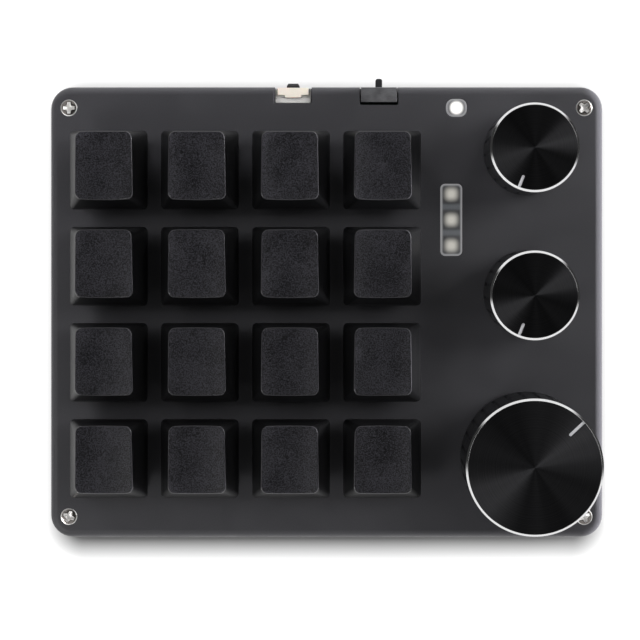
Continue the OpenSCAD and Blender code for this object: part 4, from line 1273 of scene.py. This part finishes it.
def softened(node, name, body, slot, finish, width, added=()):
    """A copy of the frame's node, and lofts added to it, with edges bevelled by width
    millimetres."""
    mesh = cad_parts[node].data.copy()
    shell = opened(mesh)
    bmesh.ops.remove_doubles(shell, verts=shell.verts, dist=WELD * MM)
    bmesh.ops.dissolve_limit(shell, angle_limit=math.radians(1), verts=shell.verts,
                             edges=shell.edges)
    if added:
        shell.from_mesh(merged("added", added))
    closed(shell, mesh, outwards=False)
    mesh.materials.clear()
    made = add_object(name, mesh, finish)
    for polygon in mesh.polygons:
        polygon.material_index = 0
    soft = made.modifiers.new("soft", "BEVEL")
    soft.width, soft.segments, soft.limit_method = width * MM, BEVEL_STEPS, "ANGLE"
    soft.angle_limit = math.radians(BEVEL_FROM)
    soft.use_clamp_overlap = True
    applied(made)
    smooth(made.data, SOFT_SHARP)
    evened(made)
    dressed(made, body, slot, node)


# two shelves close the gaps in front of the block's ears
SHELF_W, SHELF_D, SHELF_OFF, SHELF_BACK, SHELF_DOWN = 1.8, 0.85, 2.9, 1.5, 0.3
bracket_low, bracket_high = in_mm("button_bracket")
bracket_x = middle_of("button_bracket")[0]
shelves = [loft([ring(square(SHELF_W, SHELF_D), bracket_x + side * SHELF_OFF,
                      bracket_low.y + SHELF_BACK, z)
                 for z in (bracket_low.z, bracket_high.z - SHELF_DOWN)]) for side in (-1, 1)]
# node, name, body, slot, finish, width of the softened edges, and what is added to the node
SMALL_PARTS = (
    ("slide_can", "can_folded", "case", "can_steel", can_sheet, 0.12),
    ("slide_lever", "lever_moulded", "lever", "lever_black", lever_plastic, 0.15),
    ("button_bracket", "bracket_bent", "case", "bracket_metal", tinned_sheet, 0.06, shelves),
    ("button_block", "block_moulded", "case", "block_ivory", ivory_nylon, 0.15),
    ("layer_button", "button_moulded", "button", "lever_black", lever_plastic, 0.1),
    ("usb_socket", "socket_drawn", "case", "socket_steel", socket_sheet, 0.05),
    ("bottom_case", "bottom_cover", "case", "cover_black", cover_coat, 0.3),
    ("rubber_feet", "feet_moulded", "case", "foot_rubber", rubber, 0.35),
    ("switch_covers", "covers_moulded", "case", "cover_plastic", switch_plastic, 0.15),
)
for part in SMALL_PARTS:
    softened(*part)

# %% [markdown]
# ## Finishes for the parts that keep the frame's own shape
# What sits inside the case keeps the frame's mesh and gets a finish of its own.

# %% Paint the frame's own nodes
def painted(finish, *nodes):
    """Puts a finish in every material slot of these nodes."""
    for node in nodes:
        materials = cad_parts[node].data.materials
        if not materials:
            materials.append(finish)
        for n in range(len(materials)):
            materials[n] = finish
    print(finish.name, "on", len(nodes), "nodes")


painted(board_mask, "circuit_board")
painted(foil_pouch, "battery")
painted(housing_nylon, "switch_housings")
painted(stem_plastic, *[f"stem_{key}" for key in keys])
painted(encoder_zinc, "encoder_bodies")
painted(plunger_nylon, *[f"plunger_{k}" for k in KNOBS])
painted(turned_steel, *[f"shaft_{k}" for k in KNOBS])
painted(light_body, "indicator_leds")

# %% [markdown]
# ## The light windows
# The lights under the frosted plastic are parts that don't shine. In the picture each light shows
# as a soft square or disc of warm white, with dim bars between. That is a painted glow in the
# window's own material: a pattern of rounded squares in true millimetres, bright in the middle
# and fading at its edge, with fainter painted glow in the bars and a painted highlight along the
# window's edge.

# %% Frosted plastic with soft lights
FROST_GRAIN, FROST_DEPTH, FROST_MOTTLE = 0.25, 0.004, 0.08
# the painted glow of a bar and the painted highlight at a window's edge fade over these
BAR_EDGE = (0.2, 1.1)              # half widths where a bar is full and gone
RIM_EDGE = (0.25, 0.75)            # distances from the window's edge, likewise


def frosted(name, node, colour, glow, painted_edge_highlight, lights, size, soft, roundness, bars=(),
            painted_bar_glow=(0, 0, 0)):
    """Milky plastic of the window at that node, with a painted glow over each light, a fainter
    painted glow in the bars between them and a painted highlight at its edge. A light is size
    millimetres from its middle to its side. Its edge fades over the share soft of that, and a
    higher roundness makes it squarer. Lights and the dim bars between them are (x, y)."""
    material, tree, shader = new_finish(name, colour, 0.5, Emission_Strength=1.0)
    where = place_of(tree)
    fine = noise(tree, where, FROST_GRAIN)
    mottled(shader, spread(fine, *NOISE_RANGE), colour, FROST_MOTTLE)
    bump(shader, fine, FROST_DEPTH)
    # painted glow: a soft square of light over each light, which doesn't shine itself
    painted_light_spots = []
    for x, y in lights:
        dx, dy, _ = xyz(tree, vector(tree, "SUBTRACT", where, (x, y, 0)))
        px, py = [(d / size).calc("ABSOLUTE") ** roundness for d in (dx, dy)]
        far = (px + py) ** (1 / roundness)
        painted_light_spots.append(spread(far, 1 - soft, 1 + soft, 1.0, 0.0, smooth=True))
    painted_bars = [spread((xyz(tree, where)[1] - y).calc("ABSOLUTE"), *BAR_EDGE, 1.0, 0.0, smooth=True)
            for x, y in bars]
    depth = inside_edge(tree, where, middle_of(node), WINDOW_SIZE[node], WINDOW_R[node])
    # a painted highlight along the window's edge
    rim = spread(depth, *RIM_EDGE, 1.0, 0.0, smooth=True)
    light = mix_of(tree, strongest(painted_bars) if painted_bars else 0.0, (0, 0, 0), painted_bar_glow)
    light = mix_of(tree, rim, light, painted_edge_highlight)
    light = mix_of(tree, strongest(painted_light_spots), light, glow)
    tree.links.new(light, shader.inputs["Emission Color"])
    return material


LIGHT_PITCH = 6.05
PANE_SOFT = 0.12
lx, ly = middle_of("layer_window")
# each window: its plastic, the colours of the painted glow over its lights and of the painted
# highlight at its edge, its lights and their size, softness and squareness; the layer window also
# has painted glow in the bars between its lights
status_frost = frosted("status_frost", "status_window", (0.12, 0.12, 0.125),
                       (1.0, 0.98, 0.95), (0.16, 0.16, 0.165),
                       [middle_of("status_window")], 1.5, 0.25, 2.2)
layer_frost = frosted("layer_frost", "layer_window", (0.065, 0.066, 0.07),
                      (0.45, 0.435, 0.39), (0.2, 0.2, 0.205),
                      [(lx, ly + n * LIGHT_PITCH) for n in (-1, 0, 1)], 1.3, 0.75, 2.6,
                      [(lx, ly + n * LIGHT_PITCH) for n in (-0.5, 0.5)], (0.05, 0.055, 0.06))
for node, name, frost in (("status_window", "status_pane", status_frost),
                          ("layer_window", "layer_pane", layer_frost)):
    softened(node, name, "case", "window_frost", frost, PANE_SOFT)
